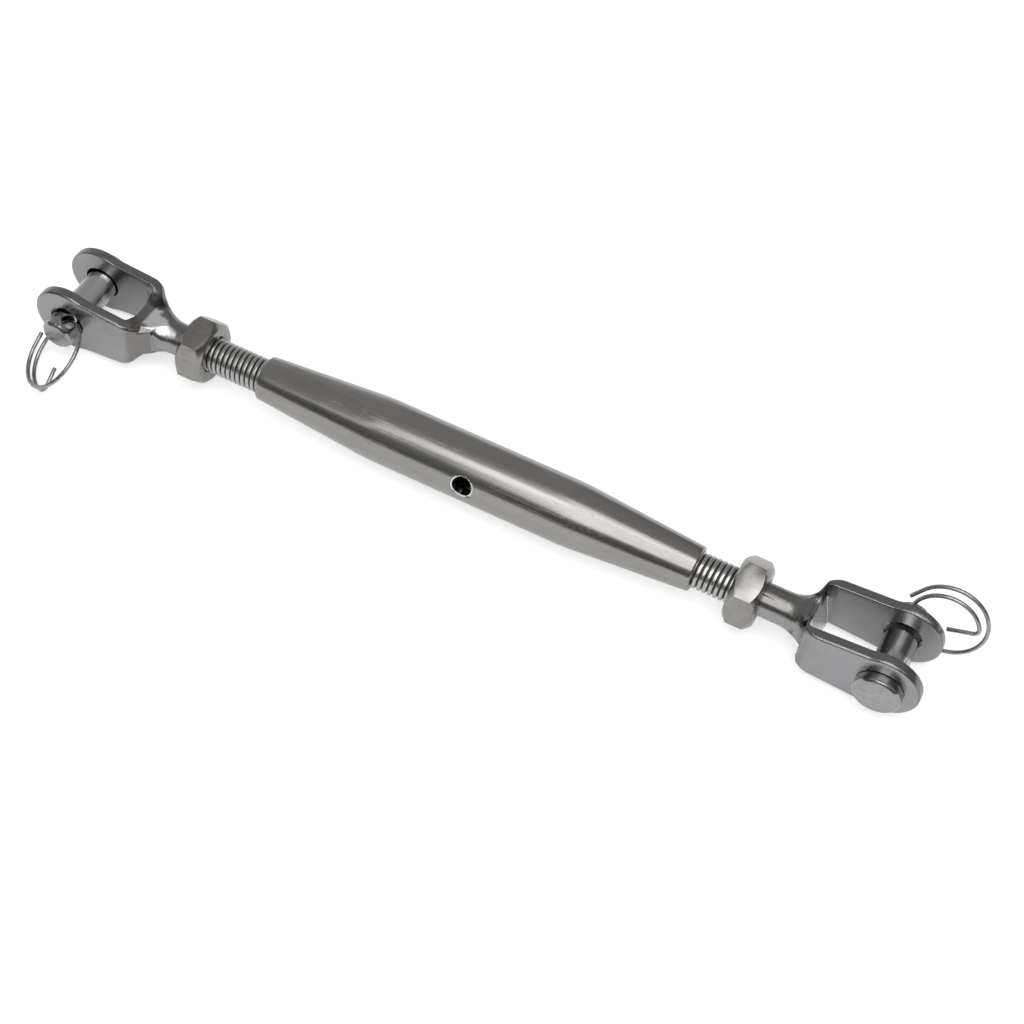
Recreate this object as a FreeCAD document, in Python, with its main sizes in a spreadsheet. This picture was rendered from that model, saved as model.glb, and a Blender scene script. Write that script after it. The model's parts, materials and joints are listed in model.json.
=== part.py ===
"""Shroud adjuster: a closed-body rigging screw with a clevis jaw at each end.

Frame: origin at the middle of the tube, where the tommy-bar hole crosses its axis.
+X runs along the tube to the right-hand-threaded jaw, +Y along the clevis pins
and +Z up. The screw lies on the rounds of its four ears. Millimetres and degrees.
"""

import FreeCAD, Part

import math
import os

import Sketcher

# Driving dimensions: name, value, what it measures.
SIZES = [
    ("tube_length", 128.0, "body tube, end to end"),
    ("tube_diameter", 17.75, "body tube at its middle"),
    ("tube_end_diameter", 12.4, "body tube at each end"),
    ("tube_barrel_length", 58.0, "between the corners where the tapers begin"),
    ("tube_blend_radius", 65.0, "blend from barrel to taper, seen from the side"),
    ("tube_end_rounding", 0.5, "outer edge of each tube end"),
    ("tube_mouth_bevel", 0.4, "inner edge of each tube end"),
    ("tapped_depth", 30.0, "threaded stretch at each tube end"),
    ("cavity_diameter", 13.0, "tube bore between the threaded stretches"),
    ("cavity_cone_length", 4.0, "cone from threaded bore to cavity"),
    ("tommy_hole_diameter", 5.5, "cross hole for the turning bar"),
    ("tommy_hole_bevel", 0.25, "outer rim of the cross hole"),
    ("tommy_hole_turn", 17.8, "cross hole raised above the pins' direction"),
    ("stud_diameter", 9.85, "outside of the threaded studs"),
    ("stud_clearance", 0.075, "radial gap, stud to tube and to lock nut"),
    ("stud_length", 67.7, "threaded stud, shank to tip"),
    ("stud_tip_bevel", 1.0, "end of each stud"),
    ("shank_diameter", 9.2, "plain shank of each jaw"),
    ("shank_end", 35.8, "pin axis to the start of the thread"),
    ("nut_width", 17.0, "lock nut across flats"),
    ("nut_thickness", 8.0, "lock nut along the thread"),
    ("nut_face_diameter", 15.6, "round left on each nut face by the bevel"),
    ("nut_bevel_length", 2.2, "bevel measured along the axis"),
    ("nut_bevel_rise", 2.4, "bevel measured along the radius"),
    ("nut_mouth_bevel", 0.6, "inner edge of each nut face"),
    ("left_nut_gap", 16.1, "left lock nut to the tube end"),
    ("left_nut_setback", 33.3, "left pin axis to the near face of the nut"),
    ("left_nut_turn", 11.1, "left nut turned about the axis"),
    ("right_nut_gap", 10.35, "right lock nut to the tube end"),
    ("right_nut_setback", 35.45, "right pin axis to the near face of the nut"),
    ("right_nut_turn", 19.6, "right nut turned about the axis"),
    ("jaw_width", 20.2, "over the outer faces of the two ears"),
    ("jaw_gap", 14.0, "between the two ears"),
    ("eye_diameter", 20.6, "round end of each ear"),
    ("ear_hole_diameter", 10.3, "pin hole through both ears"),
    ("cheek_height", 15.6, "height of the cheeks at their step to the neck"),
    ("left_cheek_length", 20.3, "left pin axis to the step"),
    ("right_cheek_length", 22.7, "right pin axis to the step"),
    ("cheek_taper", 1.85, "rise of each cheek edge from step to pin axis"),
    ("cheek_round_radius", 1.5, "upper corner of the step, seen from the side"),
    ("waist_radius", 6.0, "round end into cheek, seen from the side"),
    ("step_length", 1.0, "step from cheek to neck, along the axis"),
    ("step_root_radius", 1.2, "lower corner of the step, seen from the side"),
    ("neck_height", 12.2, "height of the neck at the step"),
    ("neck_slope_end", 28.8, "pin axis to the end of the neck's slope"),
    ("neck_blend_radius", 8.0, "neck into shank, seen from the side"),
    ("left_shoulder_length", 18.5, "left pin axis to the shoulder, from above"),
    ("right_shoulder_length", 20.55, "right pin axis to the shoulder, from above"),
    ("shoulder_slope_end", 24.4, "pin axis to the end of the shoulder's slope"),
    ("shoulder_radius", 5.0, "outer round of the shoulder, seen from above"),
    ("flare_radius", 6.0, "shoulder into shank, seen from above"),
    ("neck_end", 29.5, "pin axis to where the shank is round"),
    ("neck_round_radius", 8.0, "hollow round that turns the square neck round"),
    ("left_slot_depth", 17.8, "left pin axis to the root of the slot"),
    ("right_slot_depth", 21.7, "right pin axis to the root of the slot"),
    ("slot_corner_radius", 3.0, "corners of the slot root"),
    ("jaw_edge_radius", 0.9, "outer edges of the forging"),
    ("slot_edge_radius", 0.4, "inner edges of the ears"),
    ("pin_diameter", 9.0, "clevis pin"),
    ("pin_rest_gap", 0.2, "gap under the pin where it rests in the ear holes"),
    ("pin_head_diameter", 12.8, "clevis pin head"),
    ("pin_head_thickness", 2.8, "clevis pin head"),
    ("pin_head_bevel", 0.5, "outer rim of the head"),
    ("pin_head_gap", 0.2, "head to the ear"),
    ("pin_tip_length", 5.5, "pin beyond the far ear"),
    ("pin_tip_bevel", 0.7, "end of the pin"),
    ("cross_hole_diameter", 3.9, "hole for the split ring"),
    ("cross_hole_offset", 1.8, "ear face to the cross hole's axis"),
    ("cross_hole_bevel", 0.35, "rim of the cross hole"),
    ("left_pin_lean", 32.0, "left cross hole leaning off the vertical"),
    ("right_pin_lean", -31.0, "right cross hole leaning off the vertical"),
    ("ring_diameter", 20.2, "split ring, wire centre to wire centre"),
    ("ring_wire", 1.15, "split ring wire"),
    ("ring_pitch", 2.1, "from one coil to the next"),
    ("left_ring_turns", 1.24, "coil of the left split ring"),
    ("right_ring_turns", 1.31, "coil of the right split ring"),
    ("ring_hole_angle", 295.0, "coil from the free end to the pin hole"),
    ("ring_free_length", 4.5, "straight free end"),
    ("ring_bend_radius", 1.7, "bend into the inner leg"),
    ("ring_bend_drop", 2.4, "coil end to the corner of the bend"),
    ("ring_leg_reach", 7.0, "inner leg from that corner, towards the middle"),
    ("ring_leg_rise", 1.2, "inner leg's end, back along the coil"),
    ("left_ring_reach", 8.9, "left cross hole axis to the ring's centre"),
    ("left_ring_swing", 66.5, "left ring swung out from the ear"),
    ("left_ring_tilt", -18.5, "left ring tilted in its hole"),
    ("right_ring_reach", 10.2, "right cross hole axis to the ring's centre"),
    ("right_ring_swing", 6.0, "right ring swung out from the ear"),
    ("right_ring_tilt", -9.5, "right ring tilted in its hole"),
]

# Places worked out from the driving dimensions.
LEFT_NUT_X = "-(Sizes.tube_length / 2 + Sizes.left_nut_gap + Sizes.nut_thickness)"
LEFT_PIN_X = f"{LEFT_NUT_X} - Sizes.left_nut_setback"
RIGHT_NUT_X = "Sizes.tube_length / 2 + Sizes.right_nut_gap"
RIGHT_PIN_X = f"{RIGHT_NUT_X} + Sizes.nut_thickness + Sizes.right_nut_setback"
PIN_Z = "-((Sizes.ear_hole_diameter - Sizes.pin_diameter) / 2 - Sizes.pin_rest_gap)"
CROSS_HOLE_Y = "(Sizes.jaw_width / 2 + Sizes.cross_hole_offset)"
BORE_RADIUS = "(Sizes.stud_diameter / 2 + Sizes.stud_clearance)"
SHANK_RADIUS = "Sizes.shank_diameter / 2"
HALF_WIDTH = "Sizes.jaw_width / 2"

# Two places this close are the same place.
SAME = 0.01

ALONG_Y = FreeCAD.Vector(0, 1, 0)
ALONG_Z = FreeCAD.Vector(0, 0, 1)

doc = FreeCAD.newDocument("shroud_adjuster")


def fill_sheet():
    """Write the driving dimensions into the sheet, one row each."""
    table = doc.addObject("Spreadsheet::Sheet", "Sizes")
    for row, (name, value, note) in enumerate(SIZES, start=1):
        table.set(f"A{row}", name)
        table.set(f"B{row}", str(value))
        table.setAlias(f"B{row}", name)
        table.set(f"C{row}", note)
    doc.recompute()
    return table


sheet = fill_sheet()


def size(expression):
    """Number that an expression on the sheet comes to."""
    return float(sheet.evalExpression(expression.replace("Sizes.", "")))


def minus(expression):
    return f"-({expression})"


def place(x, y):
    return FreeCAD.Vector(size(x), size(y), 0)


def settled(feature):
    """Rebuild, and stop if this feature has failed."""
    doc.recompute()
    assert feature.isValid(), f"{feature.Name}: {feature.State}"
    return feature


# Sketches.


def new_body(label):
    body = doc.addObject("PartDesign::Body", label)
    body.Label = label
    return body


def new_sketch(body, name, plane):
    """Empty sketch on one of the body's own origin planes."""
    sketch = body.newObject("Sketcher::SketchObject", name)
    support = next(item for item in body.Origin.OriginFeatures if item.Role == plane)
    sketch.AttachmentSupport = [(support, "")]
    sketch.MapMode = "FlatFace"
    return sketch


def set_size(sketch, constraint, expression):
    """Add a dimension to the sketch and bind it to the sheet."""
    index = sketch.addConstraint(constraint)
    sketch.setExpression(f"Constraints[{index}]", expression)


def fix_point(sketch, geometry, end, x, y):
    """Hold a sketch point at coordinates given as sheet expressions."""
    for kind, axis, expression in (("DistanceX", -2, x), ("DistanceY", -1, y)):
        if expression == "0":
            held = Sketcher.Constraint("PointOnObject", geometry, end, axis)
            sketch.addConstraint(held)
        else:
            held = Sketcher.Constraint(kind, -1, 1, geometry, end, size(expression))
            set_size(sketch, held, expression)


def corner_arc(before, corner, after, radius):
    """Arc that rounds a corner, its two tangent points, and which end comes first."""
    back = (before - corner).normalize()
    ahead = (after - corner).normalize()
    half_angle = back.getAngle(ahead) / 2
    start = corner + back * (radius / math.tan(half_angle))
    finish = corner + ahead * (radius / math.tan(half_angle))
    centre = corner + (back + ahead).normalize() * (radius / math.sin(half_angle))
    circle = Part.Circle(centre, ALONG_Z, radius)
    turns_left = back.cross(ahead).z < 0
    first, last = (start, finish) if turns_left else (finish, start)
    arc = Part.ArcOfCircle(circle, circle.parameter(first), circle.parameter(last))
    return arc, start, finish, turns_left


def draw_outline(sketch, corners, rounds=None, closed=True):
    """Straight edges through the corners, some of them rounded by tangent arcs.

    corners: pairs of sheet expressions. rounds: corner number to radius expression.
    """
    rounds = rounds or {}
    points = [place(x, y) for x, y in corners]
    count = len(points)
    arrive = list(points)
    leave = list(points)
    arcs = {}
    for number, radius in rounds.items():
        before = points[number - 1]
        after = points[(number + 1) % count]
        arc, start, finish, turns_left = corner_arc(
            before, points[number], after, size(radius)
        )
        arrive[number] = start
        leave[number] = finish
        arcs[number] = (sketch.addGeometry(arc, False), turns_left)
    lines = [
        sketch.addGeometry(Part.LineSegment(leave[number], arrive[(number + 1) % count]))
        for number in range(count if closed else count - 1)
    ]
    for number, (x, y) in enumerate(corners):
        incoming = lines[number - 1] if closed or number > 0 else None
        outgoing = lines[number] if closed or number < count - 1 else None
        if number in arcs:
            join_round(sketch, incoming, arcs[number], outgoing, rounds[number])
            corner = sketch.addGeometry(Part.Point(points[number]), True)
            for line in (incoming, outgoing):
                through = Sketcher.Constraint("PointOnObject", corner, 1, line)
                sketch.addConstraint(through)
            fix_point(sketch, corner, 1, x, y)
        elif outgoing is None:
            fix_point(sketch, incoming, 2, x, y)
        else:
            if incoming is not None:
                joined = Sketcher.Constraint("Coincident", incoming, 2, outgoing, 1)
                sketch.addConstraint(joined)
            fix_point(sketch, outgoing, 1, x, y)


def join_round(sketch, incoming, rounding, outgoing, radius):
    """Tie an arc to the edges before and after it, tangent to both."""
    arc, turns_left = rounding
    near_end, far_end = (1, 2) if turns_left else (2, 1)
    into = Sketcher.Constraint("Tangent", incoming, 2, arc, near_end)
    out_of = Sketcher.Constraint("Tangent", arc, far_end, outgoing, 1)
    sketch.addConstraint(into)
    sketch.addConstraint(out_of)
    set_size(sketch, Sketcher.Constraint("Radius", arc, size(radius)), radius)


def draw_circle(sketch, x, y, diameter):
    """Circle whose centre and diameter are sheet expressions."""
    circle = Part.Circle(place(x, y), ALONG_Z, size(diameter) / 2)
    geometry = sketch.addGeometry(circle, False)
    fix_point(sketch, geometry, 3, x, y)
    set_size(sketch, Sketcher.Constraint("Diameter", geometry, size(diameter)), diameter)


# Features.


def pad(body, name, sketch, length, symmetric=False, backwards=False):
    feature = body.newObject("PartDesign::Pad", name)
    feature.Profile = sketch
    feature.SideType = "Symmetric" if symmetric else "One side"
    feature.Reversed = backwards
    feature.setExpression("Length", length)
    return settled(feature)


def cut_through(body, name, sketch):
    """Cut the sketch right through the body, both ways from its plane."""
    volume_before = body.Shape.Volume
    feature = body.newObject("PartDesign::Pocket", name)
    feature.Profile = sketch
    feature.SideType = "Symmetric"
    feature.Type = "ThroughAll"
    assert settled(feature).Shape.Volume < volume_before, name
    return feature


def turn(body, name, kind, sketch, axis):
    """Full turn of a sketch about one of its own axes."""
    feature = body.newObject(f"PartDesign::{kind}", name)
    feature.Profile = sketch
    feature.ReferenceAxis = (sketch, [axis])
    feature.Angle = 360
    return settled(feature)


def ease(body, name, kind, chosen, amount):
    """Fillet or Chamfer on those edges of the body that chosen picks."""
    base = body.Tip
    picked = [
        f"Edge{number}"
        for number, edge in enumerate(base.Shape.Edges, start=1)
        if chosen(edge)
    ]
    assert picked, f"{name}: no edge"
    feature = body.newObject(f"PartDesign::{kind}", name)
    feature.Base = (base, picked)
    feature.setExpression("Radius" if kind == "Fillet" else "Size", amount)
    return settled(feature)


# Edges, picked by where they lie.


def near(value, target):
    return abs(value - target) < SAME


def is_circle_about_x(edge, radius, distance=None):
    """Circle about the X axis with this radius, this far from the origin along X."""
    curve = edge.Curve
    if not isinstance(curve, Part.Circle):
        return False
    centred = near(abs(curve.Axis.x), 1) and near(curve.Radius, radius)
    return centred and (distance is None or near(abs(curve.Center.x), distance))


def is_straight_along(edge, direction):
    if not isinstance(edge.Curve, Part.Line):
        return False
    return near(abs(edge.Curve.Direction.dot(direction)), 1)


def middle(edge):
    return edge.valueAt((edge.FirstParameter + edge.LastParameter) / 2)


def every_point(edge, test):
    """True when the test holds at both ends of the edge and between them."""
    first, last = edge.FirstParameter, edge.LastParameter
    steps = [first + (last - first) * step / 4 for step in range(5)]
    return all(test(edge.valueAt(step)) for step in steps)


# Sub-parts.


def make_tube():
    """Body tube: turned barrel with tapered ends, bored, with one cross hole."""
    tube = new_body("body_tube")
    section = new_sketch(tube, "TubeSection", "XZ_Plane")
    end = "Sizes.tube_length / 2"
    barrel_end = "Sizes.tube_barrel_length / 2"
    barrel_radius = "Sizes.tube_diameter / 2"
    end_radius = "Sizes.tube_end_diameter / 2"
    inner = "(Sizes.tube_length / 2 - Sizes.tapped_depth)"
    right_side = [
        (barrel_end, barrel_radius),
        (end, end_radius),
        (end, BORE_RADIUS),
        (inner, BORE_RADIUS),
        (f"({inner} - Sizes.cavity_cone_length)", "Sizes.cavity_diameter / 2"),
    ]
    left_side = [(minus(x), y) for x, y in reversed(right_side)]
    corners = right_side + left_side
    blends = dict.fromkeys((0, len(corners) - 1), "Sizes.tube_blend_radius")
    draw_outline(section, corners, blends)
    turn(tube, "TubeTurned", "Revolution", section, "H_Axis")
    ease(
        tube, "EndRounding", "Fillet",
        lambda edge: is_circle_about_x(edge, size(end_radius), size(end)),
        "Sizes.tube_end_rounding",
    )
    ease(
        tube, "MouthBevel", "Chamfer",
        lambda edge: is_circle_about_x(edge, size(BORE_RADIUS), size(end)),
        "Sizes.tube_mouth_bevel",
    )
    hole = new_sketch(tube, "TommyHole", "XZ_Plane")
    draw_circle(hole, "0", "0", "Sizes.tommy_hole_diameter")
    cut_through(tube, "TommyHoleCut", hole)

    def on_rim(point):
        on_barrel = near(math.hypot(point.y, point.z), size(barrel_radius))
        return on_barrel and abs(point.x) < size("Sizes.tommy_hole_diameter")

    ease(
        tube, "TommyHoleBevel", "Chamfer",
        lambda edge: every_point(edge, on_rim), "Sizes.tommy_hole_bevel",
    )
    tube.setExpression(
        "Placement",
        "placement(vector(0; 0; 0);"
        " rotation(vector(1; 0; 0); -Sizes.tommy_hole_turn * 1deg))",
    )
    return tube


def make_lock_nut(label, near_x, turned):
    """Hexagon lock nut, bevelled on both faces, from near_x along +X."""
    nut = new_body(label)
    hexagon = new_sketch(nut, "Hexagon", "YZ_Plane")
    flat = "Sizes.nut_width / 2"
    point = "Sizes.nut_width / sqrt(3)"
    half_point = "Sizes.nut_width / sqrt(3) / 2"
    draw_outline(hexagon, [
        (point, "0"),
        (half_point, flat),
        (minus(half_point), flat),
        (minus(point), "0"),
        (minus(half_point), minus(flat)),
        (half_point, minus(flat)),
    ])
    pad(nut, "HexagonPad", hexagon, "Sizes.nut_thickness")
    bore = new_sketch(nut, "Bore", "YZ_Plane")
    draw_circle(bore, "0", "0", f"{BORE_RADIUS} * 2")
    cut_through(nut, "BoreCut", bore)
    bevel = new_sketch(nut, "FaceBevel", "XZ_Plane")
    rim = "Sizes.nut_face_diameter / 2"
    top = "(Sizes.nut_face_diameter / 2 + Sizes.nut_bevel_rise)"
    far_face = "Sizes.nut_thickness"
    far_start = "(Sizes.nut_thickness - Sizes.nut_bevel_length)"
    draw_outline(bevel, [("0", rim), ("Sizes.nut_bevel_length", top), ("0", top)])
    draw_outline(bevel, [(far_face, rim), (far_face, top), (far_start, top)])
    turn(nut, "FaceBevelCut", "Groove", bevel, "H_Axis")
    ease(
        nut, "MouthBevel", "Chamfer",
        lambda edge: is_circle_about_x(edge, size(BORE_RADIUS)),
        "Sizes.nut_mouth_bevel",
    )
    nut.setExpression(
        "Placement",
        f"placement(vector({near_x}; 0; 0);"
        f" rotation(vector(1; 0; 0); {turned} * 1deg))",
    )
    return nut


def draw_cheeks(jaw, cheek_length):
    """Side view of the forging: tapered cheeks, the step, neck slope and neck end."""
    cheeks = new_sketch(jaw, "CheekSide", "XZ_Plane")
    upper = [
        ("-Sizes.neck_end", SHANK_RADIUS),
        ("-Sizes.neck_slope_end", SHANK_RADIUS),
        (f"-({cheek_length} + Sizes.step_length)", "Sizes.neck_height / 2"),
        (minus(cheek_length), "Sizes.cheek_height / 2"),
        ("0", "(Sizes.cheek_height / 2 + Sizes.cheek_taper)"),
    ]
    lower = [(x, minus(z)) for x, z in reversed(upper)]
    draw_outline(cheeks, upper + lower, {
        1: "Sizes.neck_blend_radius",
        2: "Sizes.step_root_radius",
        3: "Sizes.cheek_round_radius",
        6: "Sizes.cheek_round_radius",
        7: "Sizes.step_root_radius",
        8: "Sizes.neck_blend_radius",
    })
    return cheeks


def draw_shoulders(jaw, shoulder_length):
    """View from above: what is taken away beside the neck, one outline each side."""
    shoulders = new_sketch(jaw, "ShoulderPlan", "XY_Plane")
    beyond_neck = "-(Sizes.neck_end + Sizes.flare_radius)"
    outside = "(Sizes.jaw_width / 2 + Sizes.shoulder_radius)"
    face_start = f"-({shoulder_length} - Sizes.shoulder_radius)"
    one_side = [
        (face_start, HALF_WIDTH),
        (face_start, outside),
        (beyond_neck, outside),
        (beyond_neck, SHANK_RADIUS),
        ("-Sizes.shoulder_slope_end", SHANK_RADIUS),
        (minus(shoulder_length), HALF_WIDTH),
    ]
    rounds = {4: "Sizes.flare_radius", 5: "Sizes.shoulder_radius"}
    draw_outline(shoulders, one_side, rounds)
    draw_outline(shoulders, [(x, minus(y)) for x, y in one_side], rounds)
    return shoulders


def forge_jaw(jaw, cheek_length, shoulder_length):
    """Outside of the fork: cheeks, round eyes, waist, neck and shoulders."""
    side_view = draw_cheeks(jaw, cheek_length)
    pad(jaw, "Cheeks", side_view, "Sizes.jaw_width", symmetric=True)
    eye = new_sketch(jaw, "Eye", "XZ_Plane")
    draw_circle(eye, "0", "0", "Sizes.eye_diameter")
    pad(jaw, "Eyes", eye, "Sizes.jaw_width", symmetric=True)

    def in_waist(edge):
        point = middle(edge)
        on_eye = near(math.hypot(point.x, point.z), size("Sizes.eye_diameter / 2"))
        return is_straight_along(edge, ALONG_Y) and on_eye and point.x < -SAME

    ease(jaw, "Waist", "Fillet", in_waist, "Sizes.waist_radius")
    cut_through(jaw, "Shoulders", draw_shoulders(jaw, shoulder_length))

    def on_outer_rim(edge):
        at_neck_end = middle(edge).x < -size("Sizes.neck_end") + SAME
        crosses = is_straight_along(edge, ALONG_Y) or is_straight_along(edge, ALONG_Z)
        return not at_neck_end and not crosses

    ease(jaw, "ForgedEdges", "Fillet", on_outer_rim, "Sizes.jaw_edge_radius")


def cut_slot(jaw, depth):
    """Slot between the ears, with its root corners and its edges rounded."""
    slot = new_sketch(jaw, "Slot", "XY_Plane")
    half_gap = "Sizes.jaw_gap / 2"
    open_end = "Sizes.eye_diameter"
    draw_outline(slot, [
        (minus(depth), half_gap),
        (minus(depth), minus(half_gap)),
        (open_end, minus(half_gap)),
        (open_end, half_gap),
    ], dict.fromkeys((0, 1), "Sizes.slot_corner_radius"))
    cut_through(jaw, "SlotCut", slot)

    def in_slot(point):
        inside = abs(point.y) < size(half_gap) + SAME
        return inside and point.x > -size(depth) - SAME

    ease(
        jaw, "SlotEdges", "Fillet",
        lambda edge: every_point(edge, in_slot) and not is_straight_along(edge, ALONG_Z),
        "Sizes.slot_edge_radius",
    )


def turn_neck_and_stud(jaw):
    """Hollow round that makes the neck round, then the shank and stud beyond it."""
    neck = new_sketch(jaw, "NeckRound", "XZ_Plane")
    beyond_neck = "-(Sizes.neck_end + Sizes.neck_round_radius)"
    hollow_start = "-(Sizes.neck_end - Sizes.neck_round_radius)"
    draw_outline(neck, [
        (beyond_neck, SHANK_RADIUS),
        (hollow_start, SHANK_RADIUS),
        (hollow_start, "Sizes.jaw_width"),
        (beyond_neck, "Sizes.jaw_width"),
    ], {1: "Sizes.neck_round_radius"})
    turn(jaw, "NeckRoundCut", "Groove", neck, "H_Axis")
    stud = new_sketch(jaw, "StudSection", "XZ_Plane")
    stud_radius = "Sizes.stud_diameter / 2"
    tip = "-(Sizes.shank_end + Sizes.stud_length)"
    draw_outline(stud, [
        ("-Sizes.neck_end", "0"),
        ("-Sizes.neck_end", SHANK_RADIUS),
        ("-Sizes.shank_end", SHANK_RADIUS),
        ("-Sizes.shank_end", stud_radius),
        (f"({tip} + Sizes.stud_tip_bevel)", stud_radius),
        (tip, f"({stud_radius} - Sizes.stud_tip_bevel)"),
        (tip, "0"),
    ])
    turn(jaw, "ShankAndStud", "Revolution", stud, "H_Axis")


def make_jaw(label, turned, pin_x, fork):
    """Forged fork with its shank and stud in one piece, at its pin's place.

    fork: lengths of cheeks, shoulders and slot, each from the pin axis.
    """
    jaw = new_body(label)
    cheek_length, shoulder_length, slot_depth = fork
    forge_jaw(jaw, cheek_length, shoulder_length)
    cut_slot(jaw, slot_depth)
    turn_neck_and_stud(jaw)
    hole = new_sketch(jaw, "EarHole", "XZ_Plane")
    draw_circle(hole, "0", "0", "Sizes.ear_hole_diameter")
    cut_through(jaw, "EarHoleCut", hole)
    jaw.setExpression(
        "Placement",
        f"placement(vector({pin_x}; 0; 0); rotation(vector(0; 0; 1); {turned} deg))",
    )
    return jaw


def make_pin(label, turned, pin_x, lean):
    """Clevis pin along Y: headed at one end, cross drilled beyond the far ear."""
    pin = new_body(label)
    section = new_sketch(pin, "PinSection", "XY_Plane")
    seat = "-(Sizes.jaw_width / 2 + Sizes.pin_head_gap)"
    face = f"({seat} - Sizes.pin_head_thickness)"
    tip = "(Sizes.jaw_width / 2 + Sizes.pin_tip_length)"
    pin_radius = "Sizes.pin_diameter / 2"
    head_radius = "Sizes.pin_head_diameter / 2"
    draw_outline(section, [
        ("0", face),
        (f"({head_radius} - Sizes.pin_head_bevel)", face),
        (head_radius, f"({face} + Sizes.pin_head_bevel)"),
        (head_radius, seat),
        (pin_radius, seat),
        (pin_radius, f"({tip} - Sizes.pin_tip_bevel)"),
        (f"({pin_radius} - Sizes.pin_tip_bevel)", tip),
        ("0", tip),
    ])
    turn(pin, "PinTurned", "Revolution", section, "V_Axis")
    hole = new_sketch(pin, "CrossHole", "XY_Plane")
    draw_circle(hole, "0", CROSS_HOLE_Y, "Sizes.cross_hole_diameter")
    cut_through(pin, "CrossHoleCut", hole)

    def on_mouth(point):
        on_pin = near(math.hypot(point.x, point.z), size(pin_radius))
        off_axis = math.hypot(point.x, point.y - size(CROSS_HOLE_Y))
        return on_pin and off_axis < size("Sizes.cross_hole_diameter / 2") + SAME

    ease(
        pin, "CrossHoleBevel", "Chamfer",
        lambda edge: every_point(edge, on_mouth), "Sizes.cross_hole_bevel",
    )
    pin.setExpression(
        "Placement",
        f"placement(vector({pin_x}; 0; {PIN_Z});"
        f" rotation(vector(0; 1; 0); {lean} * 1deg))"
        f" * placement(vector(0; 0; 0); rotation(vector(0; 0; 1); {turned} deg))",
    )
    return pin


def bend_inner_leg(ring, turns):
    """Bend and straight leg that end the coil, turned in towards its middle."""
    coil_turn = f"-({turns} * 360deg)"
    coil_rise = f"Sizes.ring_pitch * {turns}"
    coil_radius = "Sizes.ring_diameter / 2"
    path = new_sketch(ring, "LegPath", "XY_Plane")
    corner_y = "-Sizes.ring_bend_drop"
    draw_outline(path, [
        (coil_radius, "0"),
        (coil_radius, corner_y),
        (f"({coil_radius} - Sizes.ring_leg_reach)", f"({corner_y} + Sizes.ring_leg_rise)"),
    ], {1: "Sizes.ring_bend_radius"}, closed=False)
    path.setExpression(
        "AttachmentOffset",
        f"placement(vector(0; 0; {coil_rise}); rotation(vector(0; 0; 1); {coil_turn}))",
    )
    section = new_sketch(ring, "LegSection", "XZ_Plane")
    draw_circle(section, coil_radius, "0", "Sizes.ring_wire")
    section.setExpression(
        "AttachmentOffset",
        f"placement(vector(0; {coil_rise}; 0); rotation(vector(0; 1; 0); {coil_turn}))",
    )
    leg = ring.newObject("PartDesign::AdditivePipe", "InnerLeg")
    leg.Profile = section
    leg.Spine = path
    return settled(leg)


def make_split_ring(label, side, pin_x, lean, turns, hang):
    """Coiled wire ring threaded through the cross hole on one side of its jaw.

    hang: how far the ring's centre lies from the hole, its swing and its roll.
    """
    ring = new_body(label)
    wire = new_sketch(ring, "Wire", "XZ_Plane")
    draw_circle(wire, "Sizes.ring_diameter / 2", "0", "Sizes.ring_wire")
    pad(ring, "FreeEnd", wire, "Sizes.ring_free_length", backwards=True)
    coil = ring.newObject("PartDesign::AdditiveHelix", "Coil")
    coil.Profile = wire
    coil.ReferenceAxis = (wire, ["V_Axis"])
    coil.Mode = "pitch-turns-angle"
    coil.LeftHanded = True
    coil.setExpression("Pitch", "Sizes.ring_pitch")
    coil.setExpression("Turns", turns)
    settled(coil)
    bend_inner_leg(ring, turns)
    reach, swing, roll = hang
    ring.setExpression(
        "Placement",
        f"placement(vector({pin_x}; {side} * {CROSS_HOLE_Y}; {PIN_Z});"
        f" rotation(vector(0; 1; 0); {lean} * 1deg))"
        f" * placement(vector(0; 0; 0); rotation(vector(0; 0; 1); {swing} * 1deg))"
        f" * placement(vector(0; 0; 0); rotation(vector(1; 0; 0); {roll} * 1deg))"
        f" * placement(vector({reach}; 0;"
        " -(Sizes.ring_pitch * Sizes.ring_hole_angle / 360));"
        " rotation(vector(0; 0; 1); (180 + Sizes.ring_hole_angle) * 1deg))",
    )
    return ring


def make_parts():
    """All nine pieces, each at its place."""
    left_lean = "Sizes.left_pin_lean"
    right_lean = "Sizes.right_pin_lean"
    left_turns = "Sizes.left_ring_turns"
    right_turns = "Sizes.right_ring_turns"
    left_fork = (
        "Sizes.left_cheek_length",
        "Sizes.left_shoulder_length",
        "Sizes.left_slot_depth",
    )
    right_fork = (
        "Sizes.right_cheek_length",
        "Sizes.right_shoulder_length",
        "Sizes.right_slot_depth",
    )
    left_hang = (
        "Sizes.left_ring_reach",
        "-Sizes.left_ring_swing",
        "(270 + Sizes.left_ring_tilt)",
    )
    right_hang = (
        "Sizes.right_ring_reach",
        "Sizes.right_ring_swing",
        "(90 + Sizes.right_ring_tilt)",
    )
    return [
        make_tube(),
        make_lock_nut("left_lock_nut", LEFT_NUT_X, "Sizes.left_nut_turn"),
        make_lock_nut("right_lock_nut", RIGHT_NUT_X, "Sizes.right_nut_turn"),
        make_jaw("left_jaw", 180, LEFT_PIN_X, left_fork),
        make_jaw("right_jaw", 0, RIGHT_PIN_X, right_fork),
        make_pin("left_clevis_pin", 180, LEFT_PIN_X, left_lean),
        make_pin("right_clevis_pin", 0, RIGHT_PIN_X, right_lean),
        make_split_ring(
            "left_split_ring", -1, LEFT_PIN_X, left_lean, left_turns, left_hang
        ),
        make_split_ring(
            "right_split_ring", 1, RIGHT_PIN_X, right_lean, right_turns, right_hang
        ),
    ]


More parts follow.
